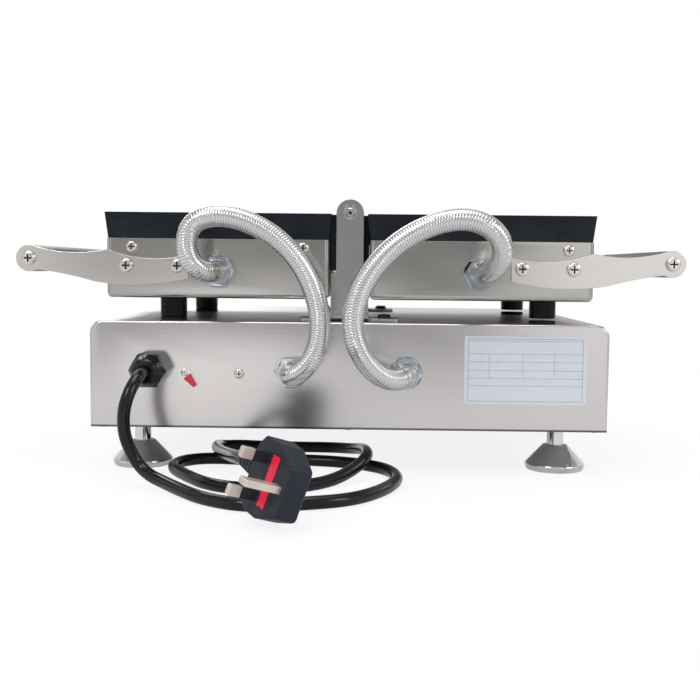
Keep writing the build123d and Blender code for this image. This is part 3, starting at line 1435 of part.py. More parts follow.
def cord_points():
    """Gives the mains lead's whole route, from the gland's seal to the plug's strain relief."""
    start = (GLAND_X, BASE_REAR + GLAND_OUT - GLAND_DOME_H / 4, BASE_BOTTOM + GLAND_H)
    tip, way = cord_end()
    near = tip + way * CORD_LAST_RUN
    out = (start[0], start[1] + CORD_FIRST_RUN, start[2])
    return [start, out] + CORD_ROUTE + [tuple(near), tuple(tip)]


def power_cord():
    """Mains lead as one tube."""
    path = tube_path(cord_points(), "power_cord")
    tube = sweep(Plane(origin=path @ 0, z_dir=path % 0) * Circle(CORD_R), path)
    section = pi * CORD_R ** 2 * path.length
    print(f"power_cord: volume over section times length {tube.volume / section:.4f}")
    print(f"power_cord: least gap to itself {least_self_gap(path, 2 * CORD_R):.2f}")
    return [tube]


def all_nodes():
    """Gives every node's name and its solids."""
    nodes = {
        "base_shell": base_shell(),
        "bottom_plate": bottom_plate(),
        "bottom_screws": bottom_screws(),
        "inner_nuts": inner_nuts(),
        "rest_pads": rest_pads(),
        "hinge_post_rear": hinge_post(POST_REAR_Y),
        "hinge_post_front": hinge_post(POST_FRONT_Y),
        "post_screws": post_screws(),
        "pivot_pin": pivot_pin(),
        "pivot_clips": pivot_clips(),
        "cable_gland": cable_gland(),
        "gland_nut": gland_nut(),
        "earth_screw": earth_screw(),
        "panel_screw": panel_screw(),
        "rating_plate": rating_plate(),
        "thermostats": thermostats(),
        "knob_right": thermostat_knob(RIGHT),
        "knob_left": thermostat_knob(LEFT),
        "power_switch": power_switch(),
        "switch_rocker": switch_rocker(),
        "pilot_lamps": pilot_lamps(),
        "terminal_block": terminal_block(),
        "wiring": wiring(),
        "plug_body": plug_body(),
        "plug_pins": plug_pins(),
        "fuse_carrier": fuse_carrier(),
        "power_cord": power_cord(),
    }
    for name, x, y in foot_places():
        nodes[name] = levelling_foot(x, y)
    base_fittings = []
    for side, word in ((RIGHT, "right"), (LEFT, "left")):
        base_fittings += hose_fitting(side * BASE_FITTING_X, BASE_REAR, BASE_FITTING_Z, SHEET)
        nodes[f"hose_{word}"] = ribbed_hose(side, f"hose_{word}")
        nodes[f"mould_plate_{word}"] = mould_plate(side)
        nodes[f"housing_{word}"] = housing(side)
        nodes[f"heater_{word}"] = heating_element(side)
        nodes[f"heater_clamp_{word}"] = element_clamp(side)
        nodes[f"insulation_{word}"] = insulation(side)
        nodes[f"thermostat_bulb_{word}"] = thermostat_bulb(side)
        nodes[f"legs_{word}"] = legs(side)
        nodes[f"arm_rear_{word}"] = arm(side, HALF_REAR + ARM_T)
        nodes[f"arm_front_{word}"] = arm(side, HALF_FRONT)
        nodes[f"grip_{word}"] = grip(side)
        nodes[f"hinge_lugs_{word}"] = hinge_lugs(side)
        nodes[f"half_screws_{word}"] = arm_screws(side) + housing_screws(side)
        nodes[f"hose_fitting_{word}"] = hose_fitting(
            side * HALF_FITTING_X, HALF_REAR, HALF_FITTING_Z, HOUSING_T
        )
    nodes["base_fittings"] = base_fittings
    return nodes


os.makedirs("parts", exist_ok=True)
for node, solids in all_nodes().items():
    shape = solids[0] if len(solids) == 1 else Compound(children=solids)
    export_step(shape, f"parts/{node}.step")
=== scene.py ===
"""Looks of a book-type waffle maker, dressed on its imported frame.

Lengths are in metres in the frame of the parts: X to the cook's right, Y to the rear, Z up, floor at Z = 0.
"""

import json
import logging
import math
from dataclasses import dataclass
from enum import Enum
from functools import cache
from typing import Any, Callable, Iterable, Sequence

import bmesh
import bpy
from mathutils import Matrix, Vector

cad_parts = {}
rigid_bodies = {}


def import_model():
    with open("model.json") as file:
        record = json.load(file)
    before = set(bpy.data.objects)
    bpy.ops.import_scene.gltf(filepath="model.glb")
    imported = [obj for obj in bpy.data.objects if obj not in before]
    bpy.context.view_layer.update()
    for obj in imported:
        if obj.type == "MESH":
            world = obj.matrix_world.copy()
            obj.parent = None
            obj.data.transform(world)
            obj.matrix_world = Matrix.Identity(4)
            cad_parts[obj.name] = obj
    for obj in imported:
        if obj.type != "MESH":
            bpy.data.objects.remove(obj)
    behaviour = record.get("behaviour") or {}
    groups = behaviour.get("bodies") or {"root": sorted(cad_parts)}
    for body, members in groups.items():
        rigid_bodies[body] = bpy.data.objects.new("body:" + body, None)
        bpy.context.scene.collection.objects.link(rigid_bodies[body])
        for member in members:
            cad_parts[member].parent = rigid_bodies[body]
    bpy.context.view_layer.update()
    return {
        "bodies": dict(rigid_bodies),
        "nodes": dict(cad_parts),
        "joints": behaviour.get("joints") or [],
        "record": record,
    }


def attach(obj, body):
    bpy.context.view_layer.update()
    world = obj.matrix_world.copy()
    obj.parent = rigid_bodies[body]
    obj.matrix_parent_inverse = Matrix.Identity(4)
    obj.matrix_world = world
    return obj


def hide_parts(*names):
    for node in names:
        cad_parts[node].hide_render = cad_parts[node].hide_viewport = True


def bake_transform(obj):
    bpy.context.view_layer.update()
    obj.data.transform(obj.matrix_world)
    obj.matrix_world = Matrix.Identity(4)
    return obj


LOG = logging.getLogger("waffle_maker")
MM = 0.001
Pair = tuple[float, float]
Point = tuple[float, float, float]
Colour = tuple[float, float, float]

# Widths of rounded edges
SHARP = 0.0
THIN_EDGE = 0.0001
FINE_EDGE = 0.0002
SOFT_EDGE = 0.0003
ROUND_EDGE = 0.0004
FULL_EDGE = 0.0005
WORN_EDGE = 0.0006

# How meshes are merged and how their edges are rounded, with the crease in degrees
WELD = 0.000002
FLAT_ANGLE = math.radians(0.6)
CREASE = 32.0
BEVEL_STEPS = 2

# Where a screw head's recess lies, as shares of the head's radius
RECESS_REACH = 0.66
RECESS_DEPTH = 0.2

# How closely a face looks along a direction, where 1 is straight along it
HARDLY = 0.3
MOSTLY = 0.7
FULLY = 0.9

# Near-black painted shade, for the shadow line at a sheet's bottom edge and for the bore and groove on the
# pin's ends
PAINTED_SHADE_BLACK: Colour = (0.03, 0.03, 0.03)


class Side(Enum):
    """Which half a piece belongs to, as the sign of its X."""

    RIGHT = 1
    LEFT = -1

    @property
    def word(self) -> str:
        """Gives the side's word in node and body names."""
        return self.name.lower()


def maths(operation: str, reverse: bool = False) -> Callable[..., "Wire"]:
    """Makes a Wire method that adds one Math node.

    Args:
        operation: The node's operation.
        reverse: Whether the other value comes first.

    Returns:
        The method.
    """

    def method(wire: "Wire", *others: Any) -> "Wire":
        """Adds the node on this wire and any other value."""
        values = (*others, wire) if reverse else (wire, *others)
        return wire.graph.node("ShaderNodeMath", {"operation": operation}, dict(enumerate(values)))

    return method


@dataclass(eq=False)
class Wire:
    """A shader socket that takes part in Python expressions."""

    graph: "Graph"
    socket: bpy.types.NodeSocket

    __add__ = __radd__ = maths("ADD")
    __mul__ = __rmul__ = maths("MULTIPLY")
    __sub__ = maths("SUBTRACT")
    __rsub__ = maths("SUBTRACT", reverse=True)
    __truediv__ = maths("DIVIDE")
    __pow__ = maths("POWER")
    __abs__ = maths("ABSOLUTE")
    __lt__ = maths("LESS_THAN")
    __gt__ = maths("GREATER_THAN")
    at_least = maths("MAXIMUM")

    def within(self, low: float, high: float) -> "Wire":
        """Maps the range from low to high onto 0 to 1, held at both ends."""
        inputs = {"Value": self, "From Min": low, "From Max": high}
        return self.graph.node("ShaderNodeMapRange", {"clamp": True}, inputs)


class Graph:
    """Node graph of one material or of the surroundings."""

    def __init__(self, owner: bpy.types.Material | bpy.types.World) -> None:
        """Empties the graph of a material or of the surroundings.

        Args:
            owner: What the graph belongs to.
        """
        self.owner = owner
        owner.use_nodes = True
        self.tree = owner.node_tree
        self.tree.nodes.clear()

    def node(
        self,
        kind: str,
        settings: dict[str, Any] | None = None,
        inputs: dict[Any, Any] | None = None,
        output: Any = 0,
    ) -> Wire:
        """Adds one node.

        Args:
            kind: The node's type.
            settings: Its properties, and "stops" for a colour ramp's places and colours.
            inputs: Values or wires by socket name or number.
            output: The name or number of the socket to give back.

        Returns:
            That output.
        """
        made = self.tree.nodes.new(kind)
        for key, value in (settings or {}).items():
            if key == "stops":
                self._set_stops(made.color_ramp, value)
            else:
                setattr(made, key, value)
        for key, value in (inputs or {}).items():
            self._plug(made.inputs[key], value)
        return Wire(self, made.outputs[output])

    @staticmethod
    def _set_stops(ramp: Any, stops: Sequence[tuple[float, Colour]]) -> None:
        """Sets a ramp's stops.

        Args:
            ramp: The node's colour ramp.
            stops: Places and colours, two or more.
        """
        while len(ramp.elements) < len(stops):
            ramp.elements.new(0.5)
        for element, (place, colour) in zip(ramp.elements, stops):
            element.position = place
            element.color = (*colour, 1.0)

    def _plug(self, socket: bpy.types.NodeSocket, value: Any) -> None:
        """Links a wire to a socket, or sets the socket's own value.

        Args:
            socket: The input.
            value: A wire, a number, or a colour of three numbers.
        """
        if isinstance(value, Wire):
            self.tree.links.new(value.socket, socket)
        elif isinstance(value, tuple) and socket.type == "RGBA":
            socket.default_value = (*value, 1.0)
        else:
            socket.default_value = value

    def place(self) -> Wire:
        """Gives the point in the frame of the parts."""
        return self.node("ShaderNodeTexCoord", output="Object")

    def facing(self) -> Wire:
        """Gives the surface's direction in the frame of the parts."""
        return self.node("ShaderNodeTexCoord", output="Normal")

    def split(self, vector: Wire) -> tuple[Wire, Wire, Wire]:
        """Gives a vector's X, Y and Z."""
        outputs = self.node("ShaderNodeSeparateXYZ", inputs={0: vector}).socket.node.outputs
        return Wire(self, outputs[0]), Wire(self, outputs[1]), Wire(self, outputs[2])

    def ramp(self, value: Wire, stops: Sequence[Pair]) -> Wire:
        """Maps a value from 0 to 1 through stops, each a place and a grey."""
        greys = [(place, (grey, grey, grey)) for place, grey in stops]
        return self.node("ShaderNodeValToRGB", {"stops": greys}, {"Fac": value})

    def noise(self, scale: float, detail: float, rough: float = 0.5, over: Wire | None = None) -> Wire:
        """Gives smooth noise from 0 to 1, over the frame of the parts or another vector."""
        inputs = {"Vector": over or self.place(), "Scale": scale, "Detail": detail, "Roughness": rough}
        return self.node("ShaderNodeTexNoise", inputs=inputs)

    def stretched(self, vector: Wire, scale: Point) -> Wire:
        """Scales a vector by three numbers."""
        return self.node("ShaderNodeMapping", inputs={"Vector": vector, "Scale": scale})

    def blend(self, factor: Any, first: Any, second: Any) -> Wire:
        """Mixes two colours, from the first at factor 0 to the second at factor 1."""
        inputs = {0: factor, 6: first, 7: second}
        return self.node("ShaderNodeMix", {"data_type": "RGBA"}, inputs, output=2)

    def bump(self, height: Wire, depth: float, strength: float = 1.0) -> Wire:
        """Gives a surface direction from a height, whose 1 stands for the depth in metres."""
        inputs = {"Height": height, "Distance": depth, "Strength": strength}
        return self.node("ShaderNodeBump", inputs=inputs)

    def surface(self, **inputs: Any) -> None:
        """Closes the graph with a Principled shader, whose sockets are named with underscores."""
        named = {key.replace("_", " "): value for key, value in inputs.items()}
        self.close(self.node("ShaderNodeBsdfPrincipled", inputs=named))

    def close(self, shader: Wire) -> None:
        """Sends a shader to the owner's output."""
        kind = "World" if isinstance(self.owner, bpy.types.World) else "Material"
        self.tree.links.new(shader.socket, self.tree.nodes.new(f"ShaderNodeOutput{kind}").inputs["Surface"])


@dataclass(frozen=True)
class Finish:
    """A surface finish that makes its material once."""

    name: str

    def paint(self, graph: Graph) -> None:
        """Fills an empty graph."""
        raise NotImplementedError

    @cache
    def material(self) -> bpy.types.Material:
        """Makes the finish's material on first use.

        Returns:
            The material.
        """
        graph = Graph(bpy.data.materials.new(self.name))
        self.paint(graph)
        return graph.owner


@dataclass(frozen=True)
class BrushedSheet(Finish):
    """Stainless sheet with a brushed grain."""

    colour: Colour = (0.60, 0.59, 0.58)
    rough: float = 0.27
    upright: bool = False
    cloudy: float = 0.10
    fine: float = 3200.0
    along: float = 28.0
    broad: float = 640.0
    # Height, half width and strength of the painted shadow line along the bottom edge
    broad_along: float = 28.0 / 3
    hem: float = 0.0
    hem_half: float = 0.0004
    hem_share: float = 0.85
    grain_depth: float = 0.000002
    lying_rough: float = 0.18

    def streaks(self, graph: Graph, across: float, along: float) -> Wire:
        """Gives streaks that follow the grain on every wall.

        Args:
            graph: The material's graph.
            across: Frequency across the grain.
            along: Frequency along it.

        Returns:
            Noise from 0 to 1.
        """
        place = graph.place()
        x, _, _ = graph.split(graph.facing())
        level, upright, sideways = (
            graph.noise(scale=1.0, detail=2.0, over=graph.stretched(place, scale))
            for scale in ((along, across, across), (across, across, along), (across, along, across))
        )
        front = upright if self.upright else level
        on_side = abs(x) > MOSTLY
        return front * (1.0 - on_side) + sideways * on_side

    def paint(self, graph: Graph) -> None:
        """Fills the graph with grain, cloud, a faint bump and, where a height is given, a painted shadow
        line along the bottom edge.

        Args:
            graph: An empty graph.
        """
        fine = self.streaks(graph, self.fine, self.along)
        broad = self.streaks(graph, self.broad, self.broad_along)
        cloud = graph.noise(scale=9.0, detail=2.0)
        _, _, up = graph.split(graph.facing())
        lying = abs(up) > MOSTLY
        shade = (fine - 0.5) * 0.22 + (broad - 0.5) * 0.12 + (cloud - 0.5) * self.cloudy * 4
        dark = tuple(part * 0.84 for part in self.colour)
        light = tuple(min(1.0, part * 1.12) for part in self.colour)
        colour = graph.blend(shade.within(-0.30, 0.30), dark, light)
        # Painted shadow: below the given height the colour darkens towards near-black, a shadow line along
        # the bottom edge
        if self.hem:
            _, _, z = graph.split(graph.place())
            above = z.within(self.hem - self.hem_half, self.hem + self.hem_half)
            colour = graph.blend(self.hem_share - above * self.hem_share, colour, PAINTED_SHADE_BLACK)
        rough = (fine - 0.5) * 0.05 + (cloud - 0.5) * 0.06 + lying * self.lying_rough + self.rough
        normal = graph.bump(fine, self.grain_depth, 0.2)
        graph.surface(Base_Color=colour, Metallic=1.0, Roughness=rough, Normal=normal)


@dataclass(frozen=True)
class PlainMetal(Finish):
    """Metal without a grain, with soft smudges."""

    colour: Colour
    rough: float
    metallic: float = 1.0
    grit: float = 0.02
    grain: float = 2520.0

    def paint(self, graph: Graph) -> None:
        """Fills the graph with smudges and a faint bump.

        Args:
            graph: An empty graph.
        """
        smudge = graph.noise(scale=70.0, detail=4.0)
        fine = graph.noise(scale=self.grain, detail=2.0)
        dark = tuple(part * 0.86 for part in self.colour)
        colour = graph.blend(smudge.within(0.30, 0.62), dark, self.colour)
        rough = (smudge - 0.5) * 0.14 + self.rough
        normal = graph.bump(fine, self.grit * MM, 0.5)
        graph.surface(Base_Color=colour, Metallic=self.metallic, Roughness=rough, Normal=normal)


@dataclass(frozen=True)
class PinSteel(Finish):
    """Bright pin whose ends carry a dark disc and a fine dark ring, painted shade standing for the bore and
    a turned groove.
    """

    axis_z: float
    bore_r: float = 0.00125
    ring_r: float = 0.0026
    ring_half: float = 0.00016
    colour: Colour = (0.78, 0.75, 0.72)

    def paint(self, graph: Graph) -> None:
        """Fills the graph with smudges and the painted shade of the bore and groove on the ends.

        Args:
            graph: An empty graph.
        """
        x, _, z = graph.split(graph.place())
        _, rearward, _ = graph.split(graph.facing())
        rise = z - self.axis_z
        reach = (x * x + rise * rise) ** 0.5
        ring = (abs(reach - self.ring_r) < self.ring_half) * (abs(rearward) > MOSTLY)
        marks = (reach < self.bore_r).at_least(ring)
        smudge = graph.noise(scale=300.0, detail=3.0)
        # Painted shade: the bore and the turned ring are darkened in the colour
        colour = graph.blend(marks * 0.92, self.colour, PAINTED_SHADE_BLACK)
        rough = (smudge - 0.5) * 0.14 + 0.20
        graph.surface(Base_Color=colour, Metallic=1.0, Roughness=rough)


@dataclass(frozen=True)
class Cast(Finish):
    """Seasoned black casting with a fine sand texture and rubbed patches."""

    colour: Colour = (0.004, 0.007, 0.012)
    rubbed: Colour = (0.020, 0.024, 0.030)
    rough: float = 0.38

    def paint(self, graph: Graph) -> None:
        """Fills the graph with sand, rubbed patches and specks.

        Args:
            graph: An empty graph.
        """
        sand = graph.noise(scale=1500.0, detail=3.0, rough=0.7)
        patch = graph.noise(scale=34.0, detail=5.0)
        speck = graph.noise(scale=900.0, detail=0.0) > 0.78
        colour = graph.blend(patch.within(0.52, 0.80) * 0.6, self.colour, self.rubbed)
        colour = graph.blend(speck * 0.20, colour, (0.10, 0.11, 0.12))
        rough = (patch - 0.5) * 0.22 + self.rough
        normal = graph.bump(sand, 0.00008, 0.6)
        graph.surface(Base_Color=colour, Roughness=rough, Normal=normal, Specular_IOR_Level=0.22)


@dataclass(frozen=True)
class Moulded(Finish):
    """Moulded plastic or rubber with a fine texture and dusty lighter patches."""

    colour: Colour
    rough: float = 0.42
    dust: float = 0.35
    texture: float = 1800.0
    depth: float = 0.03
    coat: float = 0.0
    shine: float = 0.40

    def paint(self, graph: Graph) -> None:
        """Fills the graph with texture, dust and a bump.

        Args:
            graph: An empty graph.
        """
        grain = graph.noise(scale=self.texture, detail=2.0)
        patch = graph.noise(scale=45.0, detail=4.0)
        dusty = tuple(part * 1.25 + 0.006 for part in self.colour)
        colour = graph.blend(patch.within(0.42, 0.70) * self.dust, self.colour, dusty)
        rough = (patch - 0.5) * 0.12 + self.rough
        normal = graph.bump(grain, self.depth * MM, 0.5)
        graph.surface(
            Base_Color=colour,
            Roughness=rough,
            Normal=normal,
            Coat_Weight=self.coat,
            Specular_IOR_Level=self.shine,
        )


@dataclass(frozen=True)
class HeatTint(Finish):
    """Heating steel, dull and tinted by heat."""

    colour: Colour = (0.24, 0.22, 0.20)
    straw: Colour = (0.36, 0.26, 0.14)

    def paint(self, graph: Graph) -> None:
        """Fills the graph with straw coloured patches.

        Args:
            graph: An empty graph.
        """
        patch = graph.noise(scale=60.0, detail=4.0)
        colour = graph.blend(patch.within(0.40, 0.65), self.colour, self.straw)
        rough = (patch - 0.5) * 0.25 + 0.50
        graph.surface(Base_Color=colour, Metallic=0.9, Roughness=rough)


@dataclass(frozen=True)
class Wool(Finish):
    """Mineral wool with fibres."""

    colour: Colour = (0.55, 0.50, 0.36)
    fibres: Point = (260.0, 900.0, 1500.0)

    def paint(self, graph: Graph) -> None:
        """Fills the graph with stretched fibres.

        Args:
            graph: An empty graph.
        """
        stretched = graph.stretched(graph.place(), self.fibres)
        fibre = graph.noise(scale=1.0, detail=5.0, rough=0.7, over=stretched)
        pale = tuple(min(1.0, part * 1.4) for part in self.colour)
        colour = graph.blend(fibre.within(0.30, 0.70), self.colour, pale)
        normal = graph.bump(fibre, 0.0006, 0.8)
        graph.surface(Base_Color=colour, Roughness=0.95, Normal=normal)


@dataclass(frozen=True)
class RuledFilm(Finish):
    """White rating film with a printed frame and empty rows."""

    middle: Pair = (-0.1223, 0.0742)
    white: Colour = (0.60, 0.63, 0.69)
    ink: Colour = (0.14, 0.15, 0.18)
    frame_half: float = 0.0395
    frame_top: float = 0.0220
    frame_low: float = -0.0213
    rows: tuple[float, ...] = (0.0206, 0.0116, 0.0060, 0.0001, -0.0054, -0.0106)
    columns: tuple[float, ...] = (0.0251, 0.0017, -0.0200)
    line: float = 0.00022

    def paint(self, graph: Graph) -> None:
        """Fills the graph with ruled lines and a soft sheen.

        Args:
            graph: An empty graph.
        """
        x, _, z = graph.split(graph.place())
        across = x - self.middle[0]
        up = z - self.middle[1]
        inside = (abs(across) < self.frame_half) * (up < self.frame_top) * (up > self.frame_low)
        lines = abs(abs(across) - self.frame_half) < self.line
        lines = lines * (up < self.frame_top) * (up > self.frame_low)
        for edge in (self.frame_top, self.frame_low):
            lines = lines.at_least((abs(up - edge) < self.line) * (abs(across) < self.frame_half))
        for row in self.rows:
            lines = lines.at_least((abs(up - row) < self.line * 0.8) * inside)
        cells = (up < self.rows[1]) * (up > self.rows[4])
        for column in self.columns:
            lines = lines.at_least((abs(across - column) < self.line * 0.8) * cells)
        wear = graph.noise(scale=160.0, detail=4.0)
        paper = graph.blend(wear.within(0.35, 0.75) * 0.5, self.white, (0.54, 0.57, 0.62))
        colour = graph.blend(lines * 0.62, paper, self.ink)
        rough = (wear - 0.5) * 0.15 + 0.34
        graph.surface(Base_Color=colour, Roughness=rough, Coat_Weight=0.15)


@dataclass(frozen=True)
class BondTag(Finish):
    """White tag with a plain red tapered patch below the screw."""

    centre: Pair
    way: Pair
    tail_at: float
    start: float = 0.0028
    beyond: float = 0.0018
    wide: float = 0.0017
    taper: float = 0.17
    white: Colour = (0.86, 0.86, 0.88)
    red: Colour = (0.62, 0.012, 0.035)

    def paint(self, graph: Graph) -> None:
        """Fills the graph with the patch and a sheen.

        Args:
            graph: An empty graph.
        """
        x, _, z = graph.split(graph.place())
        along = (x - self.centre[0]) * self.way[0] + (z - self.centre[1]) * self.way[1]
        aside = abs((x - self.centre[0]) * self.way[1] - (z - self.centre[1]) * self.way[0])
        end = self.tail_at + self.beyond
        half = (end - along) * self.taper + self.wide
        patch = (aside < half) * (along > self.start) * (along < end)
        wear = graph.noise(scale=900.0, detail=2.0)
        rough = (wear - 0.5) * 0.2 + 0.32
        colour = graph.blend(patch, self.white, self.red)
        graph.surface(Base_Color=colour, Roughness=rough, Coat_Weight=0.2)


@dataclass(frozen=True)
class RibbedSteel(Finish):
    """Bright wound hose, with painted shade darkening the grooves between its ribs."""

    colour: Colour = (0.70, 0.70, 0.70)
    groove: Colour = (0.42, 0.42, 0.43)

    def paint(self, graph: Graph) -> None:
        """Fills the graph from the ribs' own height, stored on the mesh.

        Args:
            graph: An empty graph.
        """
        height = graph.node("ShaderNodeAttribute", {"attribute_name": "rib_height"}, output="Fac")
        smudge = graph.noise(scale=120.0, detail=3.0)
        # Painted shade: the colour darkens from the crests into the grooves
        colour = graph.blend(height.within(0.0, 0.8), self.groove, self.colour)
        rough = (smudge - 0.5) * 0.08 - height * 0.05 + 0.22
        graph.surface(Base_Color=colour, Metallic=1.0, Roughness=rough)


# The base sheet carries a painted shadow line along its bottom edge
BASE_SHEET = BrushedSheet("base sheet", (0.64, 0.62, 0.61), 0.19, hem=0.0332)
PLATE_SHEET = BrushedSheet("bottom sheet", (0.48, 0.47, 0.46), 0.36)
HOUSING_SHEET = BrushedSheet("housing sheet", (0.47, 0.455, 0.435), 0.16)
ARM_SHEET = BrushedSheet("arm sheet", (0.68, 0.65, 0.62), 0.19)
POST_SHEET = BrushedSheet("post sheet", (0.42, 0.42, 0.41), 0.24, upright=True, cloudy=0.05)
CHROME = PlainMetal("polished chrome", (0.72, 0.74, 0.75), 0.08, grit=0.004)
NICKEL = PlainMetal("nickel hexagons", (0.47, 0.51, 0.55), 0.10, grit=0.006)
SCREW_STEEL = PlainMetal("zinc screws", (0.76, 0.73, 0.70), 0.17)
PIN_STEEL = PinSteel("pin steel", 0.1820)
# Painted shade: the dark colour put into screw-head recesses
RECESS_SHADE = PlainMetal("screw recess", (0.09, 0.08, 0.075), 0.45, metallic=0.4)
BLACK_STEEL = PlainMetal("black oxide screws", (0.018, 0.018, 0.020), 0.30, metallic=0.5)
PIN_METAL = PlainMetal("plug pin metal", (0.70, 0.64, 0.58), 0.34, metallic=0.6)
COPPER = PlainMetal("bulb copper", (0.62, 0.34, 0.22), 0.32)
CASTING = Cast("seasoned casting")
GRIP_BLACK = Moulded("grip phenolic", (0.004, 0.005, 0.007), 0.33, 0.10, shine=0.2)
LEG_BLACK = Moulded("leg phenolic", (0.002, 0.003, 0.005), 0.28, 0.05, shine=0.15)
GLAND_NYLON = Moulded("gland nylon", (0.002, 0.004, 0.006), 0.18, 0.1, shine=0.34)
KNOB_BLACK = Moulded("knob phenolic", (0.012, 0.012, 0.014), 0.35, 0.2)
SWITCH_BLACK = Moulded("switch housing", (0.016, 0.016, 0.018), 0.40, 0.2)
PAD_RUBBER = Moulded("pad rubber", (0.012, 0.012, 0.013), 0.72, 0.5, 900.0, 0.06, shine=0.2)
LEAD_SHEATH = Moulded("lead sheath", (0.003, 0.005, 0.008), 0.17, 0.08, 1200.0, 0.004, shine=0.34)
PLUG_SHELL = Moulded("plug shell", (0.017, 0.022, 0.031), 0.42, 0.2, 1600.0, 0.05, shine=0.2)
FUSE_RED = Moulded("fuse carrier red", (0.78, 0.010, 0.052), 0.42, 0.05)
ROCKER_GREEN = Moulded("rocker green", (0.02, 0.22, 0.07), 0.22, 0.0, coat=0.4)
LENS_AMBER = Moulded("lens amber", (0.80, 0.24, 0.02), 0.16, 0.0, coat=0.5)
THERMOSTAT_CASE = Moulded("thermostat case", (0.62, 0.58, 0.50), 0.60)
TERMINAL_WHITE = Moulded("terminal block white", (0.74, 0.73, 0.68), 0.50)
WIRE_COVER = Moulded("wire cover", (0.16, 0.16, 0.17), 0.50)
POINTER_WHITE = Moulded("pointer white", (0.80, 0.80, 0.78), 0.45, 0.1)
DIAL_INK = Moulded("dial ink", (0.030, 0.030, 0.032), 0.50, 0.1)
HEATED_STEEL = HeatTint("heated steel")
MINERAL_WOOL = Wool("mineral wool")
RATING_FILM = RuledFilm("rating film")
HOSE_STEEL = RibbedSteel("hose steel")


class Bench:
    """Turns the frame's nodes into finished pieces, and shapes new ones."""

    def __init__(self, frame: dict[str, Any]) -> None:
        """Keeps the frame and each node's body.
        """
        self.nodes = frame["nodes"]
        groups = frame["record"]["behaviour"]["bodies"]
        self.body_of = {node: body for body, nodes in groups.items() for node in nodes}

    def dress(self, finish: Finish, *names: str) -> None:
        """Gives nodes a finish and leaves their shape alone.

        Args:
            finish: The finish.
            names: The nodes.
        """
        for name in names:
            mesh = self.nodes[name].data
            mesh.materials.clear()
            mesh.materials.append(finish.material())
            LOG.info("dressed %s", name)

    def refine(
        self,
        node: str,
        finish: Finish,
        round_over: float = SOFT_EDGE,
        crease: float = CREASE,
        heads: Callable[[Vector], Vector] | None = None,
    ) -> bpy.types.Object:
        """Replaces a node by a merged copy with soft edges.

        Args:
            node: The node.
            finish: The copy's finish.
            round_over: The width of its rounded edges.
            crease: The angle in degrees above which an edge is sharp.
            heads: For screws, gives the way a head faces from its middle; the head's recess gets painted
                shade.

        Returns:
            The new piece.
        """
        form = bmesh.new()
        form.from_mesh(self.nodes[node].data)
        bmesh.ops.remove_doubles(form, verts=form.verts, dist=WELD)
        bmesh.ops.dissolve_limit(
            form, angle_limit=FLAT_ANGLE, verts=form.verts, edges=form.edges, delimit={"NORMAL"}
        )
        if heads is not None:
            mark_recesses(form, heads)
        piece = self.finish(form, f"{node}_finished", self.body_of[node], finish, crease)
        # The recess faces take the dark painted shade
        if heads is not None:
            piece.data.materials.append(RECESS_SHADE.material())
        if round_over:
            soft = piece.modifiers.new("soft edges", "BEVEL")
            soft.width = round_over
            soft.segments = BEVEL_STEPS
            soft.limit_method = "ANGLE"
            soft.angle_limit = math.radians(crease)
            soft.harden_normals = True
        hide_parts(node)
        return piece

    def finish(
        self, form: bmesh.types.BMesh, name: str, body: str | None, finish: Finish, crease: float = CREASE
    ) -> bpy.types.Object:
        """Closes a bmesh into a piece that rides on a body.

        Args:
            form: The shape, which is freed.
            name: The piece's name.
            body: The body it rides on, or None for a piece left on no body.
            finish: Its finish.
            crease: The angle in degrees above which an edge is sharp.

        Returns:
            The piece.
        """
        mesh = bpy.data.meshes.new(name)
        form.to_mesh(mesh)
        form.free()
        mesh.shade_smooth()
        mesh.set_sharp_from_angle(angle=math.radians(crease))
        mesh.materials.append(finish.material())
        piece = add_object(name, mesh)
        if body is not None:
            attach(piece, body)
        LOG.info("made %s", name)
        return piece


def add_object(name: str, data: bpy.types.ID) -> bpy.types.Object:
    """Puts an object into the scene.

    Args:
        name: Its name.
        data: Its mesh, curve, light or camera.

    Returns:
        The object.
    """
    made = bpy.data.objects.new(name, data)
    bpy.context.scene.collection.objects.link(made)
    return made


def islands(form: bmesh.types.BMesh) -> list[set[bmesh.types.BMVert]]:
    """Gives the separate bodies of a bmesh.

    Args:
        form: The shape.

    Returns:
        One set of vertices for each body.
    """
    left = set(form.verts)
    groups = []
    while left:
        group = set()
        front = {left.pop()}
        while front:
            group |= front
            front = {vertex for one in front for edge in one.link_edges for vertex in edge.verts} - group
        left -= group
        groups.append(group)
    return groups


def mark_recesses(form: bmesh.types.BMesh, heads: Callable[[Vector], Vector]) -> None:
    """Gives the second material, a dark painted shade, to the recess in each screw head.

    Args:
        form: The screws.
        heads: Gives the way a head faces from its middle.
    """
    for group in islands(form):
        places = [vertex.co for vertex in group]
        middle = sum(places, Vector()) / len(places)
        way = heads(middle)
        centre = (Vector(map(min, zip(*places))) + Vector(map(max, zip(*places)))) / 2
        tip = max(place.dot(way) for place in places)
        radius = max((place - centre - way * (place - centre).dot(way)).length for place in places)
        for face in {face for vertex in group for face in vertex.link_faces}:
            spot = face.calc_center_median()
            off = spot - centre
            aside = (off - way * off.dot(way)).length
            depth = tip - spot.dot(way)
            wall = abs(face.normal.dot(way)) < HARDLY
            floor = face.normal.dot(way) > FULLY and depth > radius * RECESS_DEPTH
            if aside < radius * RECESS_REACH and depth < radius and (wall or floor):
                face.material_index = 1


@dataclass
class Group:
    """Pieces that belong together and are made at one bench."""

    bench: Bench


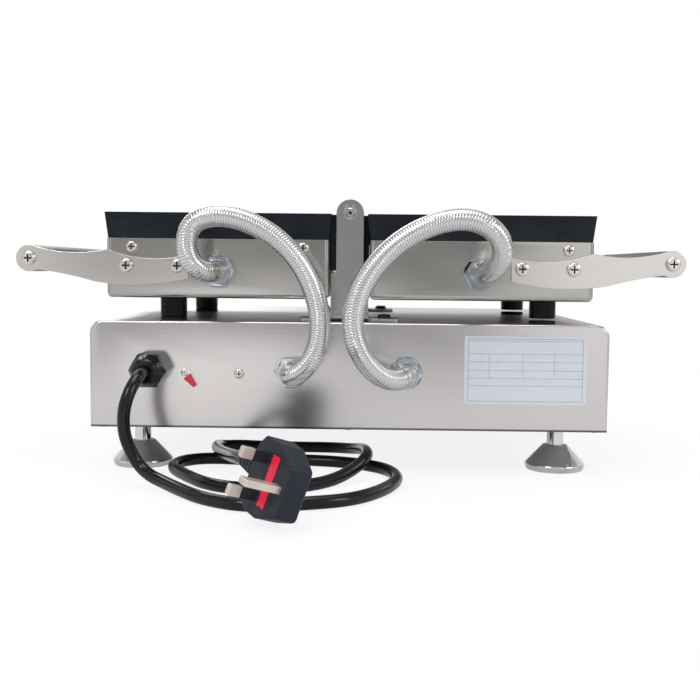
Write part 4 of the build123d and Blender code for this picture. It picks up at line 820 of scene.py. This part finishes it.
@dataclass
class BaseBox(Group):
    """Folded base box with its feet, its hinge and all that is fixed to it."""

    film_round: float = 0.00015
    tag_face: float = 0.1453
    tag_centre: Pair = (0.1138, 0.0703)
    tag_head_r: float = 0.0042
    tag_tail_r: float = 0.0026
    tag_tail_at: float = 0.0103
    tag_thick: float = 0.0006
    tag_way: Pair = (-0.629, -0.777)
    tag_sides: int = 40
    tag_flat: float = 1.0
    lip_z: float = 0.0318
    head_share: float = 0.4
    feet: tuple[str, ...] = ("rear_right", "rear_left", "front_right", "front_left")

    def build(self) -> None:
        """Refines and dresses the nodes of the box, the feet and the hinge."""
        refine, dress = self.bench.refine, self.bench.dress
        refine("base_shell", BASE_SHEET, ROUND_EDGE)
        refine("bottom_plate", PLATE_SHEET, FINE_EDGE)
        refine("rating_plate", RATING_FILM, self.film_round)
        refine("rest_pads", PAD_RUBBER)
        refine("base_fittings", NICKEL)
        refine("cable_gland", GLAND_NYLON, ROUND_EDGE)
        refine("gland_nut", GLAND_NYLON, FULL_EDGE)
        screws = refine("bottom_screws", SCREW_STEEL, SHARP, heads=lambda middle: Vector((0, 0, -1)))
        for vertex in screws.data.vertices:
            if vertex.co.z < self.lip_z:
                vertex.co.z = self.lip_z + (vertex.co.z - self.lip_z) * self.head_share
        for node in ("earth_screw", "panel_screw"):
            refine(node, SCREW_STEEL, SHARP, heads=lambda middle: Vector((0, 1, 0)))
        dress(SCREW_STEEL, "inner_nuts")
        dress(THERMOSTAT_CASE, "thermostats")
        dress(TERMINAL_WHITE, "terminal_block")
        dress(WIRE_COVER, "wiring")
        self.tag()
        for foot in self.feet:
            refine(f"foot_{foot}", CHROME, crease=40.0)
        refine("hinge_post_rear", POST_SHEET)
        refine("hinge_post_front", POST_SHEET)
        refine("post_screws", BLACK_STEEL, SHARP)
        refine("pivot_pin", PIN_STEEL, SHARP)
        refine("pivot_clips", SCREW_STEEL, THIN_EDGE)

    def tag(self) -> None:
        """Makes the tapered tag round the earth screw."""
        form = bmesh.new()
        tail = (middle + part * self.tag_tail_at for middle, part in zip(self.tag_centre, self.tag_way))
        lay = Matrix.Rotation(-math.pi / 2, 4, "X")
        for x, z, radius in ((*self.tag_centre, self.tag_head_r), (*tail, self.tag_tail_r)):
            spot = Matrix.Translation((x, self.tag_face, z)) @ lay
            bmesh.ops.create_circle(form, segments=self.tag_sides, radius=radius, matrix=spot)
        for edge in list(form.edges):
            form.edges.remove(edge)
        hull = bmesh.ops.convex_hull(form, input=form.verts)
        loose = hull["geom_interior"] + hull["geom_unused"]
        spare = {item for item in loose if isinstance(item, bmesh.types.BMVert)}
        bmesh.ops.delete(form, geom=list(spare), context="VERTS")
        flat = math.radians(self.tag_flat)
        bmesh.ops.dissolve_limit(form, angle_limit=flat, verts=form.verts, edges=form.edges)
        bmesh.ops.solidify(form, geom=list(form.faces), thickness=self.tag_thick)
        bmesh.ops.recalc_face_normals(form, faces=form.faces)
        finish = BondTag("bond tag", self.tag_centre, self.tag_way, self.tag_tail_at)
        self.bench.finish(form, "bond_tag", "base", finish)


@dataclass
class Controls(Group):
    """Knobs, rocker and lamps on the front wall."""

    wall_y: float = -0.145
    height: float = 0.0688
    knob_x: float = 0.096
    lamp_x: float = 0.050
    lens_r: float = 0.0052
    lens_clear: float = 0.00015
    lens_foot: float = 0.0012
    lens_rim: float = 0.0016
    lens_reach: float = 0.0040
    lens_steps: int = 6
    lens_sides: int = 48
    mark_ring: float = 0.0275
    mark_count: int = 11
    mark_sweep: float = 270.0
    mark_out: float = 0.00005
    mark_wide: float = 0.0007
    mark_thick: float = 0.0001
    mark_long: float = 0.0034
    mark_short: float = 0.0022
    long_every: int = 5
    pointer_out: float = 0.0272
    pointer_sunk: float = 0.0007
    pointer_up: float = 0.0100
    pointer_size: Point = (0.0010, 0.0006, 0.0150)

    def build(self) -> None:
        """Refines the controls and adds lenses, pointers and dial marks."""
        self.bench.refine("power_switch", SWITCH_BLACK, ROUND_EDGE)
        self.bench.refine("switch_rocker", ROCKER_GREEN, ROUND_EDGE)
        self.bench.refine("pilot_lamps", CHROME, FINE_EDGE)
        for side in Side:
            self.bench.refine(f"knob_{side.word}", KNOB_BLACK, ROUND_EDGE)
            self.lens(side)
            self.marks(side)
            self.pointer(side)

    def lens(self, side: Side) -> None:
        """Makes an amber lens over a lamp's dome.

        Args:
            side: Which lamp.
        """
        reach = self.lens_reach
        radius = self.lens_r + self.lens_clear
        profile = [(0.0, self.lens_foot), (radius, self.lens_foot)]
        for step in range(self.lens_steps):
            turn = math.radians(step * 90 / self.lens_steps)
            height = self.lens_rim + (reach - self.lens_rim) * math.sin(turn)
            profile.append((radius * math.cos(turn), height))
        profile.append((0.0, reach))
        form = bmesh.new()
        seat = Vector((side.value * self.lamp_x, self.wall_y, self.height))
        ring = [form.verts.new(seat + Vector((out, -ahead, 0))) for out, ahead in profile]
        ring += [form.edges.new(pair) for pair in zip(ring, ring[1:])]
        bmesh.ops.spin(
            form,
            geom=ring,
            cent=seat,
            axis=(0, -1, 0),
            angle=math.tau,
            steps=self.lens_sides,
            use_merge=True,
        )
        bmesh.ops.remove_doubles(form, verts=form.verts, dist=WELD)
        bmesh.ops.recalc_face_normals(form, faces=form.faces)
        self.bench.finish(form, f"lamp_lens_{side.word}", "base", LENS_AMBER)

    def marks(self, side: Side) -> None:
        """Makes the ring of printed strokes round a knob.

        Args:
            side: Which knob.
        """
        form = bmesh.new()
        centre = Matrix.Translation((side.value * self.knob_x, self.wall_y - self.mark_out, self.height))
        for step in range(self.mark_count):
            turn = math.radians(self.mark_sweep * (step / (self.mark_count - 1) - 0.5))
            long = self.mark_short if step % self.long_every else self.mark_long
            size = Matrix.Diagonal((self.mark_wide, self.mark_thick, long, 1.0))
            spot = centre @ Matrix.Rotation(turn, 4, "Y") @ Matrix.Translation((0, 0, self.mark_ring))
            bmesh.ops.create_cube(form, size=1.0, matrix=spot @ size)
        self.bench.finish(form, f"dial_marks_{side.word}", "base", DIAL_INK)

    def pointer(self, side: Side) -> None:
        """Makes the white line let into a knob's face.

        Args:
            side: Which knob.
        """
        form = bmesh.new()
        face = self.wall_y - self.pointer_out + self.pointer_sunk
        spot = Matrix.Translation((side.value * self.knob_x, face, self.height))
        lift = Matrix.Translation((0, 0, self.pointer_up))
        size = Matrix.Diagonal((*self.pointer_size, 1.0))
        bmesh.ops.create_cube(form, size=1.0, matrix=spot @ lift @ size)
        bmesh.ops.bevel(
            form,
            geom=form.edges[:],
            offset=THIN_EDGE,
            segments=1,
            profile=0.5,
            affect="EDGES",
            material=-1,
        )
        self.bench.finish(form, f"knob_pointer_{side.word}", f"knob_{side.word}", POINTER_WHITE)


@dataclass
class Half(Group):
    """One mould half with its housing, handle and legs."""

    side: Side
    middle_y: float = 0.045

    def head_way(self, middle: Vector) -> Vector:
        """Gives the way a screw head faces: to the rear or to the front."""
        return Vector((0, 1 if middle.y > self.middle_y else -1, 0))

    def build(self) -> None:
        """Refines and dresses the half's nodes."""
        refine, dress = self.bench.refine, self.bench.dress
        word = self.side.word
        refine(f"mould_plate_{word}", CASTING, WORN_EDGE)
        refine(f"hinge_lugs_{word}", CASTING, FULL_EDGE)
        pan = refine(f"housing_{word}", HOUSING_SHEET)
        for face in pan.data.polygons:
            if face.normal.z < -FULLY:
                face.use_smooth = False
        refine(f"arm_rear_{word}", ARM_SHEET)
        refine(f"arm_front_{word}", ARM_SHEET)
        refine(f"grip_{word}", GRIP_BLACK)
        refine(f"legs_{word}", LEG_BLACK, WORN_EDGE)
        refine(f"half_screws_{word}", SCREW_STEEL, SHARP, heads=self.head_way)
        refine(f"hose_fitting_{word}", NICKEL)
        dress(HEATED_STEEL, f"heater_{word}", f"heater_clamp_{word}")
        dress(MINERAL_WOOL, f"insulation_{word}")
        dress(COPPER, f"thermostat_bulb_{word}")


def spline_curve(name: str, route: Sequence[Point]) -> bpy.types.Object:
    """Makes a curve whose control points are a route.

    Args:
        name: The object's name.
        route: The points.

    Returns:
        The curve object.
    """
    curve = bpy.data.curves.new(name, "CURVE")
    curve.dimensions = "3D"
    spline = curve.splines.new("NURBS")
    spline.points.add(len(route) - 1)
    for point, place in zip(spline.points, route):
        point.co = (*place, 1.0)
    spline.order_u = 3
    spline.use_endpoint_u = True
    spline.resolution_u = 16
    return add_object(name, curve)


def centre_line(route: Sequence[Point]) -> list[Vector]:
    """Reads the points along a route's spline.

    Args:
        route: The spline's control points.

    Returns:
        The points.
    """
    guide = spline_curve("guide", route)
    mesh = bpy.data.meshes.new_from_object(guide)
    places = [vertex.co.copy() for vertex in mesh.vertices]
    bpy.data.objects.remove(guide)
    bpy.data.meshes.remove(mesh)
    return places


def run_length(places: Sequence[Vector]) -> float:
    """Gives the length of a chain of points."""
    return sum((b - a).length for a, b in zip(places, places[1:]))


@dataclass
class RibbedHose(Group):
    """Ribbed metal hose between the base and one half."""

    side: Side
    route: tuple[Point, ...]
    ribs: int
    root_r: float = 0.00678
    crest_r: float = 0.0070
    sides: int = 24
    base_bend: Point = (0.0478, 0.190, 0.0718)
    half_bend: Point = (0.0991, 0.190, 0.1231)
    rib: tuple[Pair, ...] = (
        (0.0, 0.0), (0.10, 0.75), (0.20, 0.97), (0.35, 1.0),
        (0.65, 1.0), (0.80, 0.97), (0.90, 0.75),
    )

    def stations(self, places: list[Vector]) -> list[tuple[Vector, Vector, float]]:
        """Gives place, direction and radius of every ring.

        Args:
            places: The centre line.

        Returns:
            One entry per ring.
        """
        ends = [0.0]
        for a, b in zip(places, places[1:]):
            ends.append(ends[-1] + (b - a).length)
        total = ends[-1]
        pitch = total / self.ribs
        marks = [((rib + part) * pitch, height) for rib in range(self.ribs) for part, height in self.rib]
        marks.append((total, 0.0))
        rings = []
        span = 0
        for mark, height in marks:
            while span < len(places) - 2 and ends[span + 1] < mark:
                span += 1
            run = ends[span + 1] - ends[span]
            share = min(1.0, max(0.0, (mark - ends[span]) / run))
            place = places[span].lerp(places[span + 1], share)
            before = places[max(0, span - 1)]
            after = places[min(len(places) - 1, span + 2)]
            radius = self.root_r + (self.crest_r - self.root_r) * height
            rings.append((place, (after - before).normalized(), radius))
        return rings

    def build(self) -> None:
        places = centre_line(self.route)
        rings = self.stations(places)
        form = bmesh.new()
        layer = form.verts.layers.float.new("rib_height")
        lean = Vector((0, 0, 1))
        seat = None
        for place, way, radius in rings:
            lean = (lean - way * lean.dot(way)).normalized()
            turn = Matrix((lean, way.cross(lean), way)).transposed().to_4x4()
            spot = Matrix.Translation(place) @ turn @ Matrix.Diagonal((radius, radius, radius, 1.0))
            if seat is None:
                bmesh.ops.create_circle(form, cap_ends=True, segments=self.sides, radius=1.0, matrix=spot)
                verts, edges = list(form.verts), list(form.edges)
            else:
                grown = bmesh.ops.extrude_edge_only(form, edges=edges)["geom"]
                verts = [item for item in grown if isinstance(item, bmesh.types.BMVert)]
                edges = [item for item in grown if isinstance(item, bmesh.types.BMEdge)]
                rim = set(verts)
                edges = [edge for edge in edges if rim.issuperset(edge.verts)]
                bmesh.ops.transform(form, matrix=spot @ seat.inverted(), verts=verts)
            seat = spot
            for vertex in verts:
                vertex[layer] = (radius - self.root_r) / (self.crest_r - self.root_r)
        bmesh.ops.edgeloop_fill(form, edges=edges)
        bmesh.ops.recalc_face_normals(form, faces=form.faces)
        word = self.side.word
        piece = self.bench.finish(form, f"hose_{word}_ribbed", None, HOSE_STEEL, crease=80.0)
        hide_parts(f"hose_{word}")
        ends = [("base", self.base_bend), (f"half_{word}", self.half_bend)]
        # The two ends are listed, in reverse for the right hose; nothing here bends the hose between them.
        if self.side is Side.RIGHT:
            ends.reverse()
        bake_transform(piece)


@dataclass
class MainsLead(Group):
    """Mains lead with its plug."""

    route: tuple[Point, ...]
    radius: float = 0.0042

    def build(self) -> None:
        shell = self.bench.refine("plug_body", PLUG_SHELL, FULL_EDGE, crease=38.0)
        pins = self.bench.refine("plug_pins", PIN_METAL)
        fuse = self.bench.refine("fuse_carrier", FUSE_RED)
        lead = spline_curve("mains_lead", self.route)
        lead.data.bevel_depth = self.radius
        lead.data.bevel_resolution = 6
        lead.data.use_fill_caps = True
        lead.data.materials.append(LEAD_SHEATH.material())
        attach(lead, "base")
        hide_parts("power_cord")
        length = run_length(centre_line(self.route))
        LOG.info("lead is %.3f m long", length)


@dataclass
class Studio:
    """Pale floor, soft lights and white surroundings."""

    middle: Point = (0.0, 0.05, 0.1)
    front: Point = (0.0, 0.0, 0.1)
    floor_r: float = 3.0
    floor_sides: int = 96
    near_r: float = 0.42
    far_r: float = 0.85
    floor_colour: Colour = (0.93, 0.93, 0.93)
    see_through: float = 0.86
    unmirrored: float = 0.55
    ambient: float = 0.62
    mirrored: float = 1.2
    band_low: Pair = (-0.13, -0.03)
    band_high: Pair = (0.14, 0.34)
    behind: Pair = (0.3, 0.6)
    room: float = 0.28
    room_middle: float = 0.08
    room_side: Pair = (0.19, 0.25)
    glow: float = 1.0
    glow_at: Pair = (0.15, -0.075)
    glow_half: Pair = (0.16, 0.055)
    around: tuple[Pair, ...] = (
        (0.00, 0.75), (0.18, 0.70), (0.25, 0.28), (0.46, 0.28), (0.56, 0.85),
        (0.76, 0.80), (0.83, 0.34), (0.93, 0.38), (0.965, 0.95),
    )
    upward: tuple[Pair, ...] = (
        (0.00, 0.35), (0.28, 0.50), (0.42, 0.62), (0.65, 0.62),
        (0.76, 0.60), (0.81, 0.32), (0.90, 0.36), (0.95, 0.85),
    )

    def build(self) -> None:
        """Makes floor, lamps and world."""
        self.floor()
        self.lamp("key", (0.9, 1.5, 1.5), self.middle, size=0.7, power=13.0)
        self.lamp("fill", (-1.5, 1.1, 0.9), self.middle, size=0.7, power=7.0)
        self.lamp("top", (0.0, 0.2, 1.9), self.middle, size=1.0, power=11.0)
        self.lamp("front", (0.6, -1.6, 1.2), self.front, size=0.9, power=8.0)
        self.world()

    def floor(self) -> None:
        """Makes a round floor that fades into the surroundings far away."""
        form = bmesh.new()
        bmesh.ops.create_circle(form, cap_ends=True, segments=self.floor_sides, radius=self.floor_r)
        mesh = bpy.data.meshes.new("studio_floor")
        form.to_mesh(mesh)
        form.free()
        graph = Graph(bpy.data.materials.new("pale floor"))
        x, y, _ = graph.split(graph.place())
        reach = (x * x + y * y) ** 0.5
        far = reach.within(self.near_r, self.far_r)
        seen = graph.node("ShaderNodeLightPath", output="Is Camera Ray")
        gloss = Wire(graph, seen.socket.node.outputs["Is Glossy Ray"])
        diffuse = graph.node("ShaderNodeBsdfDiffuse", inputs={"Color": self.floor_colour})
        clear = graph.node("ShaderNodeBsdfTransparent")
        share = far.at_least(seen * self.see_through).at_least(gloss * self.unmirrored)
        graph.close(graph.node("ShaderNodeMixShader", inputs={0: share, 1: diffuse, 2: clear}))
        mesh.materials.append(graph.owner)
        add_object("studio_floor", mesh)

    def lamp(self, name: str, place: Point, target: Point, size: float, power: float) -> None:
        """Adds one soft square lamp.

        Args:
            name: The lamp's name.
            place: Where it stands.
            target: What it points at.
            size: The length of its sides.
            power: Its power in watts.
        """
        light = bpy.data.lights.new(f"{name}_lamp", "AREA")
        light.size = size
        light.energy = power
        made = add_object(f"{name}_lamp", light)
        made.location = place
        made.rotation_euler = (Vector(target) - Vector(place)).to_track_quat("-Z", "Y").to_euler()

    def world(self) -> None:
        """Makes white surroundings, with a dimmer band at eye level that bare metal reflects."""
        world = bpy.data.worlds.new("white surroundings")
        bpy.context.scene.world = world
        graph = Graph(world)
        x, y, z = graph.split(graph.node("ShaderNodeTexCoord", output="Generated"))
        level = (x * x + y * y) ** 0.5
        turned = graph.ramp(y / level * 0.5 + 0.5, self.around)
        tall = graph.ramp(z * 0.5 + 0.5, self.upward)
        band = z.within(*self.band_low) * (1.0 - z.within(*self.band_high))
        aside = abs(x / level - self.room_middle).within(*self.room_side)
        behind = y.within(*self.behind)
        in_room = behind * (1.0 - aside)
        glow_x = (x - self.glow_at[0]) / self.glow_half[0]
        glow_z = (z - self.glow_at[1]) / self.glow_half[1]
        glow = (1.0 - (glow_x * glow_x + glow_z * glow_z)).at_least(0.0) * behind
        sides = turned + (self.room - turned) * in_room
        tone = (tall + (sides - tall) * band + glow * self.glow) * self.mirrored
        path = graph.node("ShaderNodeLightPath", output="Is Camera Ray")
        outputs = path.socket.node.outputs
        seen = path.at_least(Wire(graph, outputs["Is Transmission Ray"]))
        gloss = Wire(graph, outputs["Is Glossy Ray"])
        white = (1.0, 1.0, 1.0)
        plain = graph.node("ShaderNodeBackground", inputs={"Color": white, "Strength": self.ambient})
        mirrored = graph.node("ShaderNodeBackground", inputs={"Color": tone})
        backdrop = graph.node("ShaderNodeBackground", inputs={"Color": white})
        light = graph.node("ShaderNodeMixShader", inputs={0: gloss, 1: plain, 2: mirrored})
        graph.close(graph.node("ShaderNodeMixShader", inputs={0: seen, 1: light, 2: backdrop}))


def turned(first: Vector, second: Vector, degrees: float) -> tuple[Vector, Vector]:
    """Turns two crossed directions by an angle, the first towards the second."""
    along, across = math.cos(math.radians(degrees)), math.sin(math.radians(degrees))
    return first * along + second * across, second * along - first * across


@dataclass
class RearCamera:
    """Camera behind the machine, a little above its lead."""

    place: Point = (-0.0114, 0.8648, 0.1438)
    down: float = 4.485
    yaw: float = 0.832
    roll: float = 0.584
    focal: float = 1043.3
    frame: float = 700.0
    sensor: float = 36.0

    def build(self) -> None:
        """Makes the camera and the plain view."""
        right = Vector((-1, 0, 0))
        up = Vector((0, 0, 1))
        ahead = Vector((0, -1, 0))
        right, ahead = turned(right, ahead, self.yaw)
        ahead, up = turned(ahead, up, -self.down)
        right, up = turned(right, up, self.roll)
        data = bpy.data.cameras.new("rear_camera")
        data.sensor_width = self.sensor
        data.sensor_fit = "HORIZONTAL"
        data.lens = self.focal / self.frame * self.sensor
        data.clip_start = 0.01
        made = add_object("rear_camera", data)
        turn = Matrix((right, up, -ahead)).transposed().to_4x4()
        made.matrix_world = Matrix.Translation(Vector(self.place)) @ turn
        bpy.context.scene.camera = made
        bpy.context.scene.view_settings.view_transform = "Standard"


HOSE_ROUTE_RIGHT: tuple[Point, ...] = (
    (0.0902, 0.1532, 0.1405), (0.0902, 0.1737, 0.1405), (0.0965, 0.18272, 0.141),
    (0.1035, 0.18645, 0.148), (0.106, 0.1875, 0.16), (0.102, 0.1885, 0.171),
    (0.0915, 0.1895, 0.1765), (0.077, 0.1895, 0.1765), (0.061, 0.1885, 0.1715),
    (0.046, 0.188, 0.1625), (0.033, 0.1875, 0.1495), (0.023, 0.187, 0.132),
    (0.018, 0.1865, 0.113), (0.0185, 0.1855, 0.096), (0.0235, 0.18595, 0.083),
    (0.032, 0.18372, 0.074), (0.0398, 0.1767, 0.0718), (0.0398, 0.1562, 0.0718),
)
HOSE_ROUTE_LEFT: tuple[Point, ...] = (
    (-0.0902, 0.1532, 0.1405), (-0.0902, 0.1737, 0.1405), (-0.0945, 0.1868, 0.1435),
    (-0.0985, 0.1966, 0.1515), (-0.097, 0.202, 0.1625), (-0.088, 0.204, 0.1715),
    (-0.075, 0.204, 0.1755), (-0.06, 0.2035, 0.174), (-0.043, 0.203, 0.1675),
    (-0.027, 0.2025, 0.1565), (-0.014, 0.202, 0.1415), (-0.0055, 0.2015, 0.125),
    (-0.0025, 0.201, 0.1075), (-0.007, 0.2, 0.091), (-0.0165, 0.1956, 0.0775),
    (-0.0285, 0.1893, 0.0705), (-0.0398, 0.1767, 0.0718), (-0.0398, 0.1562, 0.0718),
)
LEAD_ROUTE: tuple[Point, ...] = (
    (0.1365, 0.16987, 0.073), (0.1365, 0.18038, 0.073), (0.1374, 0.1905, 0.0705),
    (0.141, 0.198, 0.062), (0.144, 0.2, 0.05), (0.144, 0.199, 0.0363),
    (0.1404, 0.196, 0.0239), (0.1348, 0.195, 0.014), (0.127, 0.2005, 0.0089),
    (0.117, 0.209, 0.0067), (0.1041, 0.225, 0.0055), (0.086, 0.246, 0.0044),
    (0.058, 0.264, 0.0044), (0.024, 0.256, 0.0044), (-0.006, 0.243, 0.0044),
    (-0.027, 0.21, 0.0044), (-0.0355, 0.174, 0.0044), (-0.026, 0.141, 0.0044),
    (0.002, 0.121, 0.0044), (0.036, 0.114, 0.0044), (0.072, 0.117, 0.0044),
    (0.102, 0.111, 0.0044), (0.12, 0.124, 0.0044), (0.123, 0.148, 0.0044),
    (0.108, 0.176, 0.0044), (0.088, 0.206, 0.0044), (0.06, 0.219, 0.0044),
    (0.032, 0.21, 0.0044), (0.009, 0.19, 0.0046), (-0.0065, 0.166, 0.009),
    (-0.0135, 0.15, 0.0136), (-0.0135, 0.128, 0.0142), (-0.009, 0.1, 0.0108),
    (-0.001, 0.078, 0.0068), (0.014, 0.061, 0.0046), (0.042, 0.06, 0.0044),
    (0.07, 0.0575, 0.0044), (0.086, 0.0535, 0.0044), (0.09706, 0.0565, 0.00432),
    (0.10065, 0.064, 0.0061), (0.10054, 0.079, 0.00773), (0.09797, 0.096, 0.00932),
    (0.09431, 0.114, 0.01123), (0.09014, 0.133, 0.01353), (0.08584, 0.152, 0.01602),
    (0.08129, 0.172, 0.01882), (0.07659, 0.192, 0.02166), (0.07118, 0.214, 0.02485),
    (0.06502, 0.235, 0.02781), (0.05817, 0.25208, 0.0301),
)


def main() -> None:
    """Builds all pieces in order and notes the lead's length."""
    logging.basicConfig(level=logging.INFO, format="%(name)s: %(message)s")
    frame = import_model()
    bench = Bench(frame)
    RearCamera().build()
    MainsLead(bench, LEAD_ROUTE).build()
    RibbedHose(bench, Side.RIGHT, HOSE_ROUTE_RIGHT, ribs=149).build()
    RibbedHose(bench, Side.LEFT, HOSE_ROUTE_LEFT, ribs=154).build()
    BaseBox(bench).build()
    Controls(bench).build()
    for side in Side:
        Half(bench, side).build()
    Studio().build()


if __name__ == "__main__":
    main()
